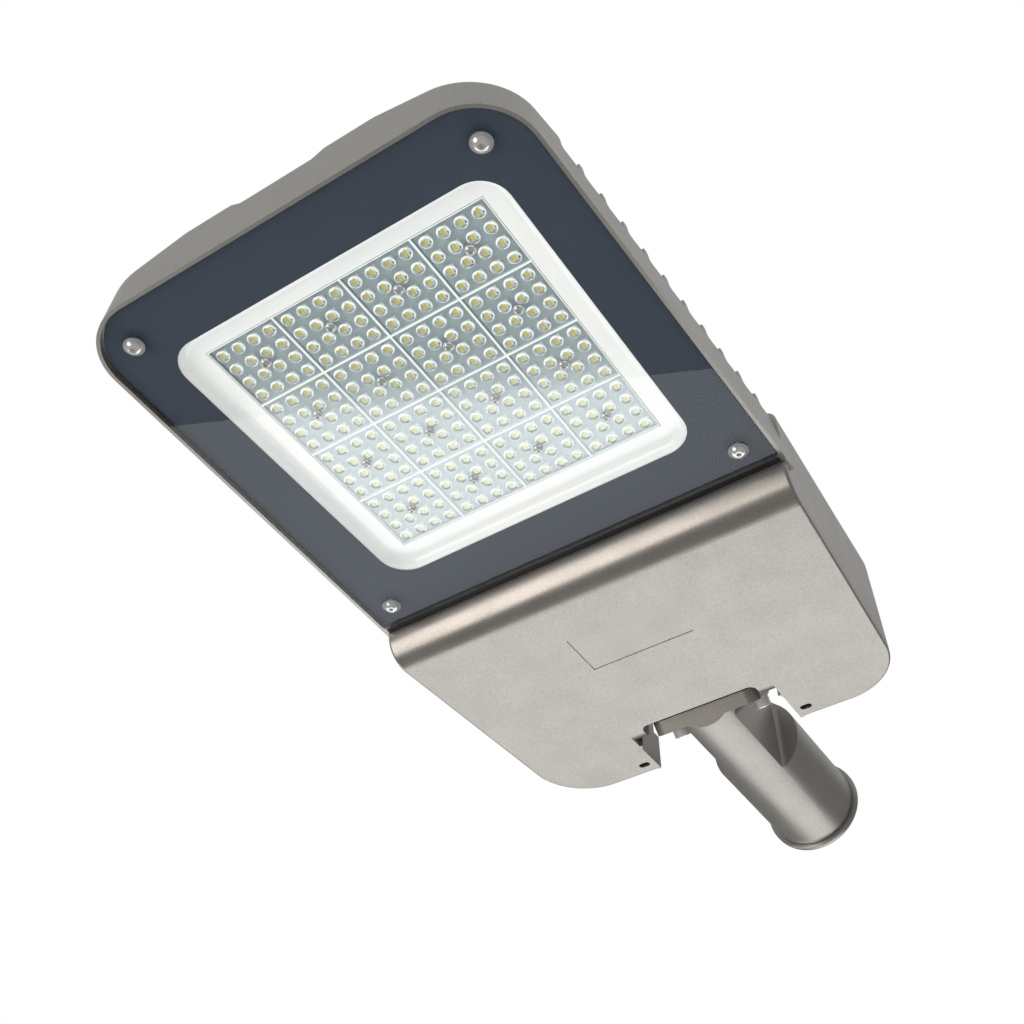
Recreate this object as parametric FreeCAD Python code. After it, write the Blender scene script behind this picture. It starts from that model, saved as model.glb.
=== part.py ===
import FreeCAD, Part
import math
import os

# LED street light head, millimetres.
# Frame: origin at the centre of the spigot's mouth, +X along the pole arm to
# the tip of the head, +Y across, +Z up. The glass faces down.

V = FreeCAD.Vector

# Spigot: slides over the pole arm and is bolted to the head on a 45 degree face
ARM_DIAMETER = 60.0
ARM_CLEARANCE = 3.0
SPIGOT_WALL = 4.5
SOCKET_DEPTH = 95.0
SOCKET_FLOOR = 4.0
BEAD_WIDTH = 5.0
BEAD_HEIGHT = 3.4
BEAD_GROOVE_WIDTH = 1.2
BEAD_GROOVE_DEPTH = 0.6
SPIGOT_REACH = 185.0
JOINT_ANGLE = 45.0
FLANGE_WIDTH = 86.0
FLANGE_LENGTH = 68.0
FLANGE_THICKNESS = 10.5
FLANGE_CORNER = 9.0
NECK_WIDTH = 38.0
NECK_FILLET = 6.8
WAIST_START = 110.0
WAIST_SLOPE = 3.0
WAIST_FILLET = 4.0
CABLE_BORE = 26.0
JOINT_GASKET_THICKNESS = 1.5
JOINT_GASKET_INSET = 1.0
SET_PAD_WIDTH = 18.0
SET_PAD_HEIGHT = 4.0
SET_PAD_LENGTH = 66.0
SET_SCREW_DIAMETER = 8.0
SET_SCREW_LENGTH = 16.0
SET_SCREW_PITCH = 36.0
SET_SCREW_FIRST = 26.0
SET_SCREW_DRAWN_BACK = 0.4
SET_SCREW_KEY = 4.0
SET_SCREW_KEY_DEPTH = 5.0
SET_PAD_START = 12.0

# Bolts that hold the spigot to the head
BOLT_SPACING = 68.0
BOLT_DIAMETER = 8.0
BOLT_LENGTH = 28.0
BOLT_HEAD_DIAMETER = 13.0
BOLT_HEAD_HEIGHT = 8.0
BOLT_HOLE = 9.0
BOLT_SOCKET = 6.0
BOLT_SOCKET_DEPTH = 4.0
BOLT_EDGE = 0.6
BOLT_THREAD_DEPTH = 15.0
SEAT_BOSS = 19.0
SEAT_BOSS_DEPTH = 18.0
SEAT_WALL = 8.0
WASHER_THICKNESS = 1.6
WASHER_DIAMETER = 16.0
WASHER_PLAY = 0.4

# Glass and the rim of the housing round it
GLASS_DROP = 9.0
GLASS_LENGTH = 312.0
GLASS_REAR_WIDTH = 310.0
GLASS_FRONT_WIDTH = 295.0
GLASS_CORNER = 38.0
GLASS_REAR_CORNER = 4.0
GLASS_THICKNESS = 4.0
GLASS_GAP = 0.4
RIM_WIDTH = 2.4
GASKET_THICKNESS = 2.0
GASKET_WIDTH = 8.0
GASKET_INSET = 3.0
GLASS_SCREW_REAR_INSET = 19.0
GLASS_SCREW_REAR_MARGIN = 19.5
GLASS_SCREW_FRONT_INSET = 24.0
GLASS_SCREW_FRONT_MARGIN = 24.5
GLASS_SCREW_DIAMETER = 5.0
GLASS_SCREW_LENGTH = 16.0
GLASS_SCREW_HEAD = 11.0
GLASS_SCREW_HEAD_HEIGHT = 3.2
GLASS_SCREW_HOLE = 8.0
GLASS_SCREW_KEY = 3.2
SLEEVE_PLAY = 0.4
SLEEVE_FLANGE = 13.0
SLEEVE_FLANGE_THICKNESS = 0.8

# Light engine: four boards under sixteen lens modules
MODULE_PITCH = 50.0
MODULE_SIZE = 49.3
MODULE_COUNT = 4
LENS_PER_SIDE = 4
LENS_PITCH = 12.0
LENS_BASE_RADIUS = 5.0
LENS_TOP_RADIUS = 3.1
LENS_HEIGHT = 3.8
LENS_SIDES = 6
LENS_PLATE = 3.0
LENS_BACK_POCKET = 1.4
LENS_RIM = 2.2
LENS_BOSS = 9.0
ENGINE_OFFSET = 2.4
ENGINE_DEPTH = 12.9
BOARD_THICKNESS = 1.6
BOARD_WIDTH = 49.0
BOARD_END_GAP = 0.5
CHIP_SIZE = 3.0
CHIP_HEIGHT = 0.7
LENS_SCREW_DIAMETER = 3.0
LENS_SCREW_LENGTH = 7.0
LENS_SCREW_HEAD = 7.0
LENS_SCREW_HEAD_HEIGHT = 2.2
LENS_SCREW_KEY = 2.2
LENS_SCREW_RUN_OUT = 0.6

# White reflector tray between the glass and the boards
TRAY_OPENING = 234.0
TRAY_WALL = 1.2
TRAY_CORNER = 21.0
TRAY_COVE = 8.0
TRAY_WINDOW_GAP = 0.5
TRAY_GLASS_GAP = 0.5
TRAY_POCKET_GAP = 1.5

# Housing
WALL = 3.5
SIDE_DRAFT = 8.0
NOSE_DRAFT = 2.5
NOSE_TOP_CORNER = 42.0
NOSE_FACET_START = 66.0
NOSE_FACET_FALL = 13.5
NOSE_FACET_TURN = 16.2
NOSE_HEIGHT = 41.0
NOSE_LENGTH = 66.0
CREST_REAR_HEIGHT = 55.0
TOP_REAR_HEIGHT = 68.0
NOSE_DIP_WIDTH = 52.0
NOSE_DIP_DEPTH = 4.5
NOSE_DIP_SHOULDER = 8.0
FIN_COUNT = 10
FIN_THICKNESS = 4.6
FIN_TIP_RADIUS = 2.0
FIN_STEP = 9.8
FIN_FLOOR = 4.0
FIN_ROOT_RADIUS = 3.0
LEDGE_FLOOR = 4.0
LEDGE_MARGIN = 1.5
BOSS_DIAMETER = 12.0
BOSS_ROOF = 4.0
BLOCK_EDGE_RADIUS = 9.0
BLOCK_DRAFT = 1.7
BLOCK_TAPER = 3.5
BLOCK_CORNER = 46.0

# Driver cover under the rear of the housing
COVER_LENGTH = 225.0
COVER_STEP_IN = 1.6
BLOCK_STEP = 9.5
COVER_DROP = 22.3
COVER_SEAM = 4.3
COVER_LIP = 5.3
COVER_EDGE = 1.8
COVER_ROLL = 21.0
COVER_WALL = 3.0
COVER_GAP = 0.4
COVER_REAR_OFFSET = 22.5
NOTCH_WIDTH = 118.0
NOTCH_DEPTH = 34.5
NOTCH_NOSE_WIDTH = 94.0
NOTCH_NOSE_DEPTH = 20.0
NOTCH_CORNER = 6.0
NOTCH_WALL_HEIGHT = 29.0
NOTCH_ROLL = 13.0
COVER_SCREW_INSET = 10.5
COVER_SCREW_SPACING = 136.0
COVER_SLOT_LENGTH = 9.0
COVER_SLOT_WIDTH = 5.2
COVER_SCREW_DIAMETER = 5.0
COVER_SCREW_LENGTH = 22.0
COVER_SCREW_HEAD_HEIGHT = 3.0
COVER_SCREW_SINK = 2.0
COVER_SEAT_GAP = 1.0
RECESS_WIDTH = 80.0
RECESS_LENGTH = 38.5
RECESS_DEPTH = 0.6
RECESS_SETBACK = 54.0
SEAL_WIDTH = 3.4
SEAL_PLAY = 0.1
FOOT_HEIGHT = 5.0

# Electrical parts in the rear compartment
DRIVER_LENGTH = 210.0
DRIVER_WIDTH = 68.0
DRIVER_HEIGHT = 38.0
DRIVER_SETBACK = 20.0
DRIVER_CEILING_GAP = 4.0
DRIVER_TAB = 14.0
DRIVER_TAB_THICKNESS = 3.0
DRIVER_TAB_WIDTH = 34.0
DRIVER_EDGE = 5.0
DRIVER_SCREW_DIAMETER = 4.0
DRIVER_SCREW_LENGTH = 8.0
DRIVER_SCREW_HEAD = 8.0
DRIVER_SCREW_HEAD_HEIGHT = 2.6
DRIVER_POST = 10.0
SURGE_SIZE = (56.0, 34.0, 26.0)
TERMINAL_SIZE = (46.0, 22.0, 18.0)
TERMINAL_PITCH = 9.0
TERMINAL_ENTRY = 4.0
TERMINAL_ENTRY_DROP = 12.0
TERMINAL_WELL = 4.2
TERMINAL_WELL_DEPTH = 5.0
SMALL_PART_SETBACK = 44.0
SMALL_PART_MARGIN = 45.0
SMALL_PART_DROP = 9.2
SMALL_FOOT_THICKNESS = 3.0
SMALL_FOOT_LENGTH = 8.0
SMALL_FOOT_SETBACK = 5.0
SMALL_SCREW_DIAMETER = 3.0
SMALL_SCREW_LENGTH = 7.0
SMALL_SCREW_HEAD = 6.0
SMALL_SCREW_HEAD_HEIGHT = 2.0
SMALL_POST = 9.0
GLAND_BORE = 10.0
GLAND_LEAD_HOLE = 6.0
GLAND_NUT = 14.0
GLAND_NUT_HEIGHT = 7.0
GLAND_NECK = 10.0
GLAND_OFFSET = 60.0
GLAND_DROP = 6.0

# Fits shared by many pieces
THREAD_PLAY = 0.1
SCREW_PLAY = 0.3
THREAD_RUN_OUT = 1.0

# Help for the modelling: pieces of one casting reach OVERLAP into each other,
# and stock that a later cut trims stands OVERSIZE past its face
OVERLAP = 1.0
OVERSIZE = 20.0

# Sizes that follow from the ones above
SPIGOT_BORE = ARM_DIAMETER + ARM_CLEARANCE
BORE_RADIUS = SPIGOT_BORE / 2
TUBE_RADIUS = BORE_RADIUS + SPIGOT_WALL
GLASS_Z = -GLASS_DROP
COVER_REAR_X = SPIGOT_REACH - COVER_REAR_OFFSET
COVER_FRONT_X = COVER_REAR_X + COVER_LENGTH
GLASS_REAR_X = COVER_FRONT_X + COVER_SEAM
GLASS_FRONT_X = GLASS_REAR_X + GLASS_LENGTH
TIP_X = GLASS_FRONT_X + GLASS_GAP + RIM_WIDTH
COVER_Z = GLASS_Z - COVER_DROP
PARTING_Z = COVER_Z + COVER_LIP
LEDGE_Z = GLASS_Z + GLASS_THICKNESS + GASKET_THICKNESS
ENGINE_X = GLASS_REAR_X + GLASS_LENGTH / 2 - ENGINE_OFFSET
LENS_FACE_Z = GLASS_Z + ENGINE_DEPTH
BOARD_Z = LENS_FACE_Z + LENS_PLATE
ENGINE_BASE_Z = BOARD_Z + BOARD_THICKNESS
ENGINE_SIZE = MODULE_PITCH * MODULE_COUNT
NOSE_TOP_Z = GLASS_Z + NOSE_HEIGHT
CREST_FRONT_X = TIP_X - NOSE_LENGTH
BLOCK_FRONT_X = COVER_FRONT_X - BLOCK_STEP
CREST_REAR_Z = GLASS_Z + CREST_REAR_HEIGHT
BLOCK_REAR_X = COVER_REAR_X
TOP_REAR_Z = GLASS_Z + TOP_REAR_HEIGHT
SIDE_TAPER = (GLASS_REAR_WIDTH - GLASS_FRONT_WIDTH) / 2 / GLASS_LENGTH
FIN_PITCH = (CREST_FRONT_X - BLOCK_FRONT_X) / (FIN_COUNT + 1)
FLANGE_STACK = FLANGE_THICKNESS + JOINT_GASKET_THICKNESS
COVER_FRONT_WIDTH = GLASS_REAR_WIDTH + 2 * (GLASS_GAP + RIM_WIDTH - COVER_STEP_IN)
BLOCK_TOP_SLOPE = (TOP_REAR_Z - CREST_REAR_Z) / (BLOCK_FRONT_X - BLOCK_REAR_X)
CREST_SLOPE = (CREST_REAR_Z - NOSE_TOP_Z) / (CREST_FRONT_X - BLOCK_FRONT_X)
LENS_SCREW_END_Z = LENS_FACE_Z + LENS_SCREW_LENGTH
FAR = TIP_X


# Small helpers for outlines and solids

def rounded_wire(points, radii):
    """Closed wire through the points, each corner rounded by its own radius."""
    count = len(points)
    cuts = []
    for i in range(count):
        corner = points[i]
        radius = radii[i]
        to_last = (points[i - 1] - corner).normalize()
        to_next = (points[(i + 1) % count] - corner).normalize()
        if radius <= 0:
            cuts.append((corner, None, corner))
            continue
        half = to_last.getAngle(to_next) / 2
        reach = radius / math.tan(half)
        middle = (to_last + to_next).normalize()
        centre = corner + middle * (radius / math.sin(half))
        cuts.append((corner + to_last * reach, centre - middle * radius, corner + to_next * reach))
    edges = []
    for i in range(count):
        start, bend, end = cuts[i]
        before = cuts[i - 1][2]
        if before.distanceToPoint(start) > 1e-6:
            edges.append(Part.LineSegment(before, start).toShape())
        if bend is not None:
            edges.append(Part.Arc(start, bend, end).toShape())
    return Part.Wire(edges)


def plan_wire(corners, z):
    """Rounded outline in a level plane; corners are (x, y, radius)."""
    points = [V(x, y, z) for x, y, r in corners]
    return rounded_wire(points, [r for x, y, r in corners])


def plan_prism(corners, z_low, z_high):
    """Upright prism over a rounded outline."""
    face = Part.Face(plan_wire(corners, z_low))
    return face.extrude(V(0, 0, z_high - z_low))


def plan_loft(low_corners, z_low, high_corners, z_high):
    """Drafted solid between two like outlines."""
    wires = [plan_wire(low_corners, z_low), plan_wire(high_corners, z_high)]
    return Part.makeLoft(wires, True, True)


def side_prism(corners, half_width):
    """Solid with a side-view outline (x, z, radius), as wide as given each way in Y."""
    points = [V(x, -half_width, z) for x, z, r in corners]
    face = Part.Face(rounded_wire(points, [r for x, z, r in corners]))
    return face.extrude(V(0, 2 * half_width, 0))


def mirrored(half):
    """Outline symmetric about Y = 0 from its +Y half, listed rear to front."""
    return [(x, y, r) for x, y, r in half] + [(x, -y, r) for x, y, r in reversed(half)]


def square_outline(x, y, size_x, size_y, radius):
    """Outline of a rectangle with rounded corners about a centre."""
    a = size_x / 2
    b = size_y / 2
    signs = ((-1, -1), (1, -1), (1, 1), (-1, 1))
    return [(x + sx * a, y + sy * b, radius) for sx, sy in signs]


def box(x0, x1, y0, y1, z0, z1):
    """Plain block between two corners."""
    return Part.makeBox(x1 - x0, y1 - y0, z1 - z0, V(x0, y0, z0))


def rod(diameter, x, y, z, length):
    """Upright cylinder from its lower end."""
    return Part.makeCylinder(diameter / 2, length, V(x, y, z), V(0, 0, 1))


def x_rod(radius, start, length):
    """Cylinder on the spigot's axis."""
    return Part.makeCylinder(radius, length, V(start, 0, 0), V(1, 0, 0))


def fuse_all(shapes):
    """One solid from overlapping ones."""
    first = shapes[0]
    if len(shapes) == 1:
        return first
    return first.multiFuse(shapes[1:]).removeSplitter()


def group(shapes):
    """Several separate solids kept as one sub-part."""
    return Part.makeCompound(shapes)


def both_sides(shape):
    """The shape and its mirror image across Y = 0."""
    return [shape, shape.mirror(V(0, 0, 0), V(0, 1, 0))]


# Reference lines of the head

def half_width(x, z):
    """Half width of the housing's finned part at a place along X and a height."""
    at_rim = GLASS_REAR_WIDTH / 2 + GLASS_GAP + RIM_WIDTH - SIDE_TAPER * (x - GLASS_REAR_X)
    return at_rim - (z - GLASS_Z) * math.tan(math.radians(SIDE_DRAFT))


def crest_z(x):
    """Height of the fin crests: level over the nose, then rising to the rear."""
    return NOSE_TOP_Z + max(CREST_FRONT_X - x, 0) * CREST_SLOPE


def cover_half_width(x, inset):
    """Half width of the cover's lower edge; it narrows to the rear."""
    return COVER_FRONT_WIDTH / 2 - (COVER_FRONT_X - x) * math.tan(math.radians(BLOCK_TAPER)) - inset


def glass_outline(grow):
    """Outline of the glass, grown by a margin all round."""
    rear = GLASS_REAR_WIDTH / 2 + grow
    front = GLASS_FRONT_WIDTH / 2 + grow
    half = [(GLASS_REAR_X - grow, rear, GLASS_REAR_CORNER + max(grow, -3.0)),
            (GLASS_FRONT_X + grow, front, GLASS_CORNER + grow)]
    return mirrored(half)


def glass_screw_places():
    """Centres of the four glass screws."""
    rear_x = GLASS_REAR_X + GLASS_SCREW_REAR_INSET
    front_x = GLASS_FRONT_X - GLASS_SCREW_FRONT_INSET
    places = []
    for side in (-1, 1):
        places.append((rear_x, side * (GLASS_REAR_WIDTH / 2 - GLASS_SCREW_REAR_MARGIN)))
        places.append((front_x, side * (GLASS_FRONT_WIDTH / 2 - GLASS_SCREW_FRONT_MARGIN)))
    return places


def module_places():
    """Names and centres of the lens modules, rows from rear to front."""
    places = []
    for row in range(MODULE_COUNT):
        for column in range(MODULE_COUNT):
            x = ENGINE_X + (row - (MODULE_COUNT - 1) / 2) * MODULE_PITCH
            y = (column - (MODULE_COUNT - 1) / 2) * MODULE_PITCH
            places.append((row + 1, column + 1, x, y))
    return places


def lens_offsets():
    """Distances of the lenses from the middle of their module along one axis."""
    return [(i - (LENS_PER_SIDE - 1) / 2) * LENS_PITCH for i in range(LENS_PER_SIDE)]


def joint_normal():
    """Direction square to the spigot's joint, away from the head."""
    angle = math.radians(JOINT_ANGLE)
    return V(-math.cos(angle), 0, -math.sin(angle))


def joint_up():
    """Direction up the face of the spigot's joint."""
    angle = math.radians(JOINT_ANGLE)
    return V(-math.sin(angle), 0, math.cos(angle))


def joint_point(along, across, up):
    """Point by the slanted joint: out along its normal, across in Y, up its face."""
    return V(SPIGOT_REACH, across, 0) + joint_normal() * along + joint_up() * up


def joint_face(corners, up):
    """Flat face square to the joint; corners are (along, across)."""
    points = [joint_point(along, across, up) for along, across in corners]
    return Part.Face(Part.makePolygon(points + points[:1]))


def joint_plate(width, length, corner, start, thickness):
    """Plate lying on the slanted joint, thickness counted away from the head."""
    corners = []
    for side_y, side_up in ((-1, -1), (1, -1), (1, 1), (-1, 1)):
        corners.append(joint_point(start, side_y * width / 2, side_up * length / 2))
    face = Part.Face(rounded_wire(corners, [corner] * 4))
    return face.extrude(joint_normal() * thickness)


def joint_rod(diameter, across, start, length):
    """Cylinder square to the joint's face, counted away from the head."""
    return Part.makeCylinder(diameter / 2, length, joint_point(start, across, 0), joint_normal())


def joint_block(start, end):
    """Very wide block between two distances from the joint, used to trim solids."""
    return joint_plate(2 * FAR, 2 * FAR, 0, start, end - start)


# Spigot and its fasteners

def neck_coves():
    """Coved corners where the neck meets the flange, kept inside the tube."""
    tube = x_rod(TUBE_RADIUS, 0, SPIGOT_REACH + TUBE_RADIUS)
    column = joint_plate(FLANGE_WIDTH, FLANGE_LENGTH, FLANGE_CORNER, JOINT_GASKET_THICKNESS, FAR)
    low = -2 * TUBE_RADIUS
    near = FLANGE_STACK - OVERLAP
    far = FLANGE_STACK + NECK_FILLET
    coves = []
    for side in (-1, 1):
        inner = side * (NECK_WIDTH / 2 - OVERLAP)
        outer = side * (NECK_WIDTH / 2 + NECK_FILLET)
        square = joint_face(((near, inner), (near, outer), (far, outer), (far, inner)), low)
        block = square.extrude(joint_up() * (4 * TUBE_RADIUS))
        hollow = Part.makeCylinder(NECK_FILLET, 4 * TUBE_RADIUS, joint_point(far, outer, low), joint_up())
        coves.append(block.cut(hollow).common(tube).common(column))
    return coves


def waist_cuts():
    """Cut on each side that leaves the narrow neck, with a filleted inner corner."""
    lean = math.tan(math.radians(WAIST_SLOPE))
    reach = 3 * TUBE_RADIUS
    start = WAIST_START - lean * reach
    half = NECK_WIDTH / 2
    outer = 2 * TUBE_RADIUS
    corners = [(start, half, WAIST_FILLET), (FAR, half, 0), (FAR, outer, 0), (start, outer, 0)]
    face = Part.Face(plan_wire(corners, -reach))
    return both_sides(face.extrude(V(2 * lean * reach, 0, 2 * reach)))


def below_flange():
    """Block past the flange's lower edge, where the casting ends square to the joint."""
    corners = ((-FAR, -FAR), (-FAR, FAR), (FAR, FAR), (FAR, -FAR))
    return joint_face(corners, -FLANGE_LENGTH / 2).extrude(joint_up() * -FAR)


def mouth_bead():
    """Rounded bead round the mouth of the socket."""
    bead = x_rod(TUBE_RADIUS + BEAD_HEIGHT, 0, BEAD_WIDTH)
    rims = [edge for edge in bead.Edges if edge.Curve.TypeId == "Part::GeomCircle"]
    return bead.makeFillet(BEAD_WIDTH * 0.24, rims)


def bead_groove():
    """Thin groove round the tube behind the bead."""
    ring = x_rod(TUBE_RADIUS + OVERLAP, BEAD_WIDTH, BEAD_GROOVE_WIDTH)
    return ring.cut(x_rod(TUBE_RADIUS - BEAD_GROOVE_DEPTH, 0, 2 * BEAD_WIDTH))


def set_pad():
    """Raised pad on top of the tube that gives the set screws their thread."""
    half = SET_PAD_WIDTH / 2
    return box(SET_PAD_START, SET_PAD_START + SET_PAD_LENGTH, -half, half,
               BORE_RADIUS + OVERLAP, TUBE_RADIUS + SET_PAD_HEIGHT)


def spigot():
    """Cast spigot: socket tube with a bead, waisted neck and slanted flange."""
    body = x_rod(TUBE_RADIUS, 0, SPIGOT_REACH + TUBE_RADIUS)
    for cut in waist_cuts():
        body = body.cut(cut)
    body = body.cut(joint_block(-FAR, JOINT_GASKET_THICKNESS))
    plate = joint_plate(FLANGE_WIDTH, FLANGE_LENGTH, FLANGE_CORNER,
                        JOINT_GASKET_THICKNESS, FLANGE_THICKNESS)
    body = fuse_all([body, plate] + neck_coves())
    body = body.cut(below_flange())
    body = fuse_all([body, set_pad(), mouth_bead()])
    body = body.cut(bead_groove())
    body = body.cut(x_rod(BORE_RADIUS, 0, SOCKET_DEPTH))
    body = body.cut(x_rod(CABLE_BORE / 2, 0, FAR))
    for side in (-1, 1):
        body = body.cut(joint_rod(BOLT_HOLE, side * BOLT_SPACING / 2, 0, BOLT_LENGTH))
    for x in set_screw_places():
        body = body.cut(rod(SET_SCREW_DIAMETER, x, 0, 0, FAR))
    return body


def set_screw_places():
    """Places along X of the two screws that lock the spigot on the arm."""
    return [SET_SCREW_FIRST, SET_SCREW_FIRST + SET_SCREW_PITCH]


def set_screws():
    """Socket set screws in the pad, drawn back until an arm is fitted."""
    screws = []
    low = BORE_RADIUS + SET_SCREW_DRAWN_BACK
    key_z = low + SET_SCREW_LENGTH - SET_SCREW_KEY_DEPTH
    for x in set_screw_places():
        body = rod(SET_SCREW_DIAMETER - THREAD_PLAY, x, 0, low, SET_SCREW_LENGTH)
        key = hex_prism(SET_SCREW_KEY, SET_SCREW_KEY_DEPTH + OVERLAP, V(x, 0, key_z), V(0, 0, 1))
        screws.append(body.cut(key))
    return group(screws)


def hex_prism(across_flats, height, base, direction):
    """Hexagonal prism from the middle of its base."""
    radius = across_flats / math.sqrt(3)
    corners = []
    for i in range(6):
        angle = math.radians(60 * i)
        corners.append(V(radius * math.cos(angle), radius * math.sin(angle), 0))
    face = Part.Face(Part.makePolygon(corners + corners[:1]))
    prism = face.extrude(V(0, 0, height))
    prism.Placement = FreeCAD.Placement(base, FreeCAD.Rotation(V(0, 0, 1), direction))
    return prism


def spigot_bolts():
    """Socket head bolts through the flange into the housing."""
    bolts = []
    seat = FLANGE_STACK + WASHER_THICKNESS
    top = seat + BOLT_HEAD_HEIGHT
    for side in (-1, 1):
        y = side * BOLT_SPACING / 2
        head = joint_rod(BOLT_HEAD_DIAMETER, y, seat, BOLT_HEAD_HEIGHT)
        rim = [edge for edge in head.Edges if edge.Curve.TypeId == "Part::GeomCircle"]
        head = head.makeChamfer(BOLT_EDGE, rim)
        shank = joint_rod(BOLT_DIAMETER - THREAD_PLAY, y, seat - BOLT_LENGTH, BOLT_LENGTH + OVERLAP)
        key = hex_prism(BOLT_SOCKET, BOLT_SOCKET_DEPTH + OVERLAP,
                        joint_point(top - BOLT_SOCKET_DEPTH, y, 0), joint_normal())
        bolts.append(head.fuse(shank).cut(key))
    return group(bolts)


def bolt_washers():
    """A flat washer under the head of each spigot bolt."""
    rings = []
    for side in (-1, 1):
        y = side * BOLT_SPACING / 2
        ring = joint_rod(WASHER_DIAMETER, y, FLANGE_STACK, WASHER_THICKNESS)
        rings.append(ring.cut(joint_rod(BOLT_DIAMETER + WASHER_PLAY, y, 0, FAR)))
    return group(rings)


def joint_gasket():
    """Rubber sheet between the flange and the housing."""
    inset = JOINT_GASKET_INSET
    sheet = joint_plate(FLANGE_WIDTH - 2 * inset, FLANGE_LENGTH - 2 * inset, FLANGE_CORNER - inset,
                        0, JOINT_GASKET_THICKNESS)
    sheet = sheet.cut(x_rod(CABLE_BORE / 2 + inset, 0, FAR))
    for side in (-1, 1):
        sheet = sheet.cut(joint_rod(BOLT_HOLE + inset, side * BOLT_SPACING / 2, -OVERLAP, FLANGE_STACK))
    return sheet


# Housing casting

def nose_outline(z, corner):
    """Outline of the finned part at a height, with the drafts of its walls."""
    rise = z - GLASS_Z
    front = TIP_X - rise * math.tan(math.radians(NOSE_DRAFT))
    rear = BLOCK_FRONT_X - OVERLAP
    half = [(rear, half_width(rear, z), 0), (front, half_width(front, z), corner)]
    return mirrored(half)


def finned_body():
    """Solid of the finned part up to the crests, before its pockets."""
    rim_corner = GLASS_CORNER + GLASS_GAP + RIM_WIDTH
    top_z = CREST_REAR_Z + OVERSIZE
    body = plan_loft(nose_outline(GLASS_Z, rim_corner), GLASS_Z,
                     nose_outline(top_z, NOSE_TOP_CORNER), top_z)
    rear = BLOCK_FRONT_X - 3 * OVERSIZE
    front = TIP_X + OVERSIZE
    above = [(front, NOSE_TOP_Z, 0), (CREST_FRONT_X, NOSE_TOP_Z, 0),
             (rear, crest_z(rear), 0), (rear, top_z + OVERSIZE, 0), (front, top_z + OVERSIZE, 0)]
    return body.cut(side_prism(above, GLASS_REAR_WIDTH))


def nose_facets():
    """Blocks above the two slanted planes that lower the nose towards its corners."""
    fall = math.tan(math.radians(NOSE_FACET_FALL))
    turn = math.tan(math.radians(NOSE_FACET_TURN))
    reach = GLASS_REAR_WIDTH
    corners = []
    for x, y in ((TIP_X - reach, -reach), (TIP_X + reach, -reach), (TIP_X + reach, reach), (TIP_X - reach, reach)):
        z = NOSE_TOP_Z - (x - TIP_X) * turn - (y - NOSE_FACET_START) * fall
        corners.append(V(x, y, z))
    face = Part.Face(Part.makePolygon(corners + corners[:1]))
    return both_sides(face.extrude(V(0, 0, 3 * reach)))


def nose_dip():
    """Shallow channel along the middle of the finned part."""
    half_top = NOSE_DIP_WIDTH / 2 + NOSE_DIP_SHOULDER
    half_low = NOSE_DIP_WIDTH / 2
    radius = NOSE_DIP_DEPTH
    wires = []
    for x in (TIP_X + OVERSIZE, CREST_FRONT_X, BLOCK_FRONT_X):
        top = crest_z(x)
        low = top - NOSE_DIP_DEPTH
        high = top + OVERSIZE
        points = [V(x, -half_low, low), V(x, half_low, low), V(x, half_top, top),
                  V(x, half_top, high), V(x, -half_top, high), V(x, -half_top, top)]
        wires.append(rounded_wire(points, [radius, radius, 0, 0, 0, 0]))
    return Part.makeLoft(wires, True, True)


def fin_gap_profile(x_rear, x_front, low, tip_radius):
    """Side-view outline of the air gap between two fins, flared round the fins' tips."""
    over = FIN_THICKNESS / 2 - 0.02
    high = CREST_REAR_Z + 2 * OVERSIZE
    root = FIN_ROOT_RADIUS
    return [(x_rear, low(x_rear), root), (x_front, low(x_front), root),
            (x_front, crest_z(x_front), tip_radius), (x_front + over, crest_z(x_front + over), 0),
            (x_front + over, high, 0), (x_rear - over, high, 0),
            (x_rear - over, crest_z(x_rear - over), 0), (x_rear, crest_z(x_rear), tip_radius)]


def fin_gaps():
    """Air gaps: a stepped top edge on the side walls and deep pockets between them."""
    cutters = []
    for i in range(FIN_COUNT + 1):
        front = CREST_FRONT_X - i * FIN_PITCH - FIN_THICKNESS / 2
        rear = CREST_FRONT_X - (i + 1) * FIN_PITCH + FIN_THICKNESS / 2
        step = fin_gap_profile(rear, front, lambda x: crest_z(x) - FIN_STEP, FIN_TIP_RADIUS)
        cutters.append(side_prism(step, GLASS_REAR_WIDTH))
        cutters.append(fin_pocket(rear, front))
    return cutters


def fin_pocket(rear, front):
    """Deep pocket between two fins, down to the floor over the light engine."""
    pocket_half = (TRAY_OPENING / 2 + TRAY_POCKET_GAP + TRAY_WALL + WALL)
    high = crest_z(rear) + OVERSIZE
    floor = ENGINE_BASE_Z + FIN_FLOOR
    inner = plan_prism([(rear, -pocket_half, 0), (front, -pocket_half, 0),
                        (front, pocket_half, 0), (rear, pocket_half, 0)], floor, high)
    top_half = half_width(front, high) - WALL
    low = LEDGE_Z + LEDGE_FLOOR
    low_half = half_width(front, low) - WALL
    wires = []
    for z, half in ((low, low_half), (high, top_half)):
        points = [V(rear, -half, z), V(front, -half, z), V(front, half, z), V(rear, half, z)]
        wires.append(Part.makePolygon(points + points[:1]))
    wide = Part.makeLoft(wires, True, True)
    core = box(rear - OVERLAP, front + OVERLAP, -pocket_half, pocket_half, low - OVERLAP, high + OVERLAP)
    return fuse_all([wide.cut(core), inner])


def block_outline(z, inset, low_z):
    """Outline of the rear compartment at a height, inset all round."""
    lean = (z - low_z) * math.tan(math.radians(BLOCK_DRAFT))
    rear = BLOCK_REAR_X + inset + lean
    front = COVER_FRONT_X - COVER_LIP
    half = [(rear, cover_half_width(rear, inset + lean), BLOCK_CORNER - inset),
            (front, cover_half_width(front, inset + lean), 0)]
    return mirrored(half)


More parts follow.
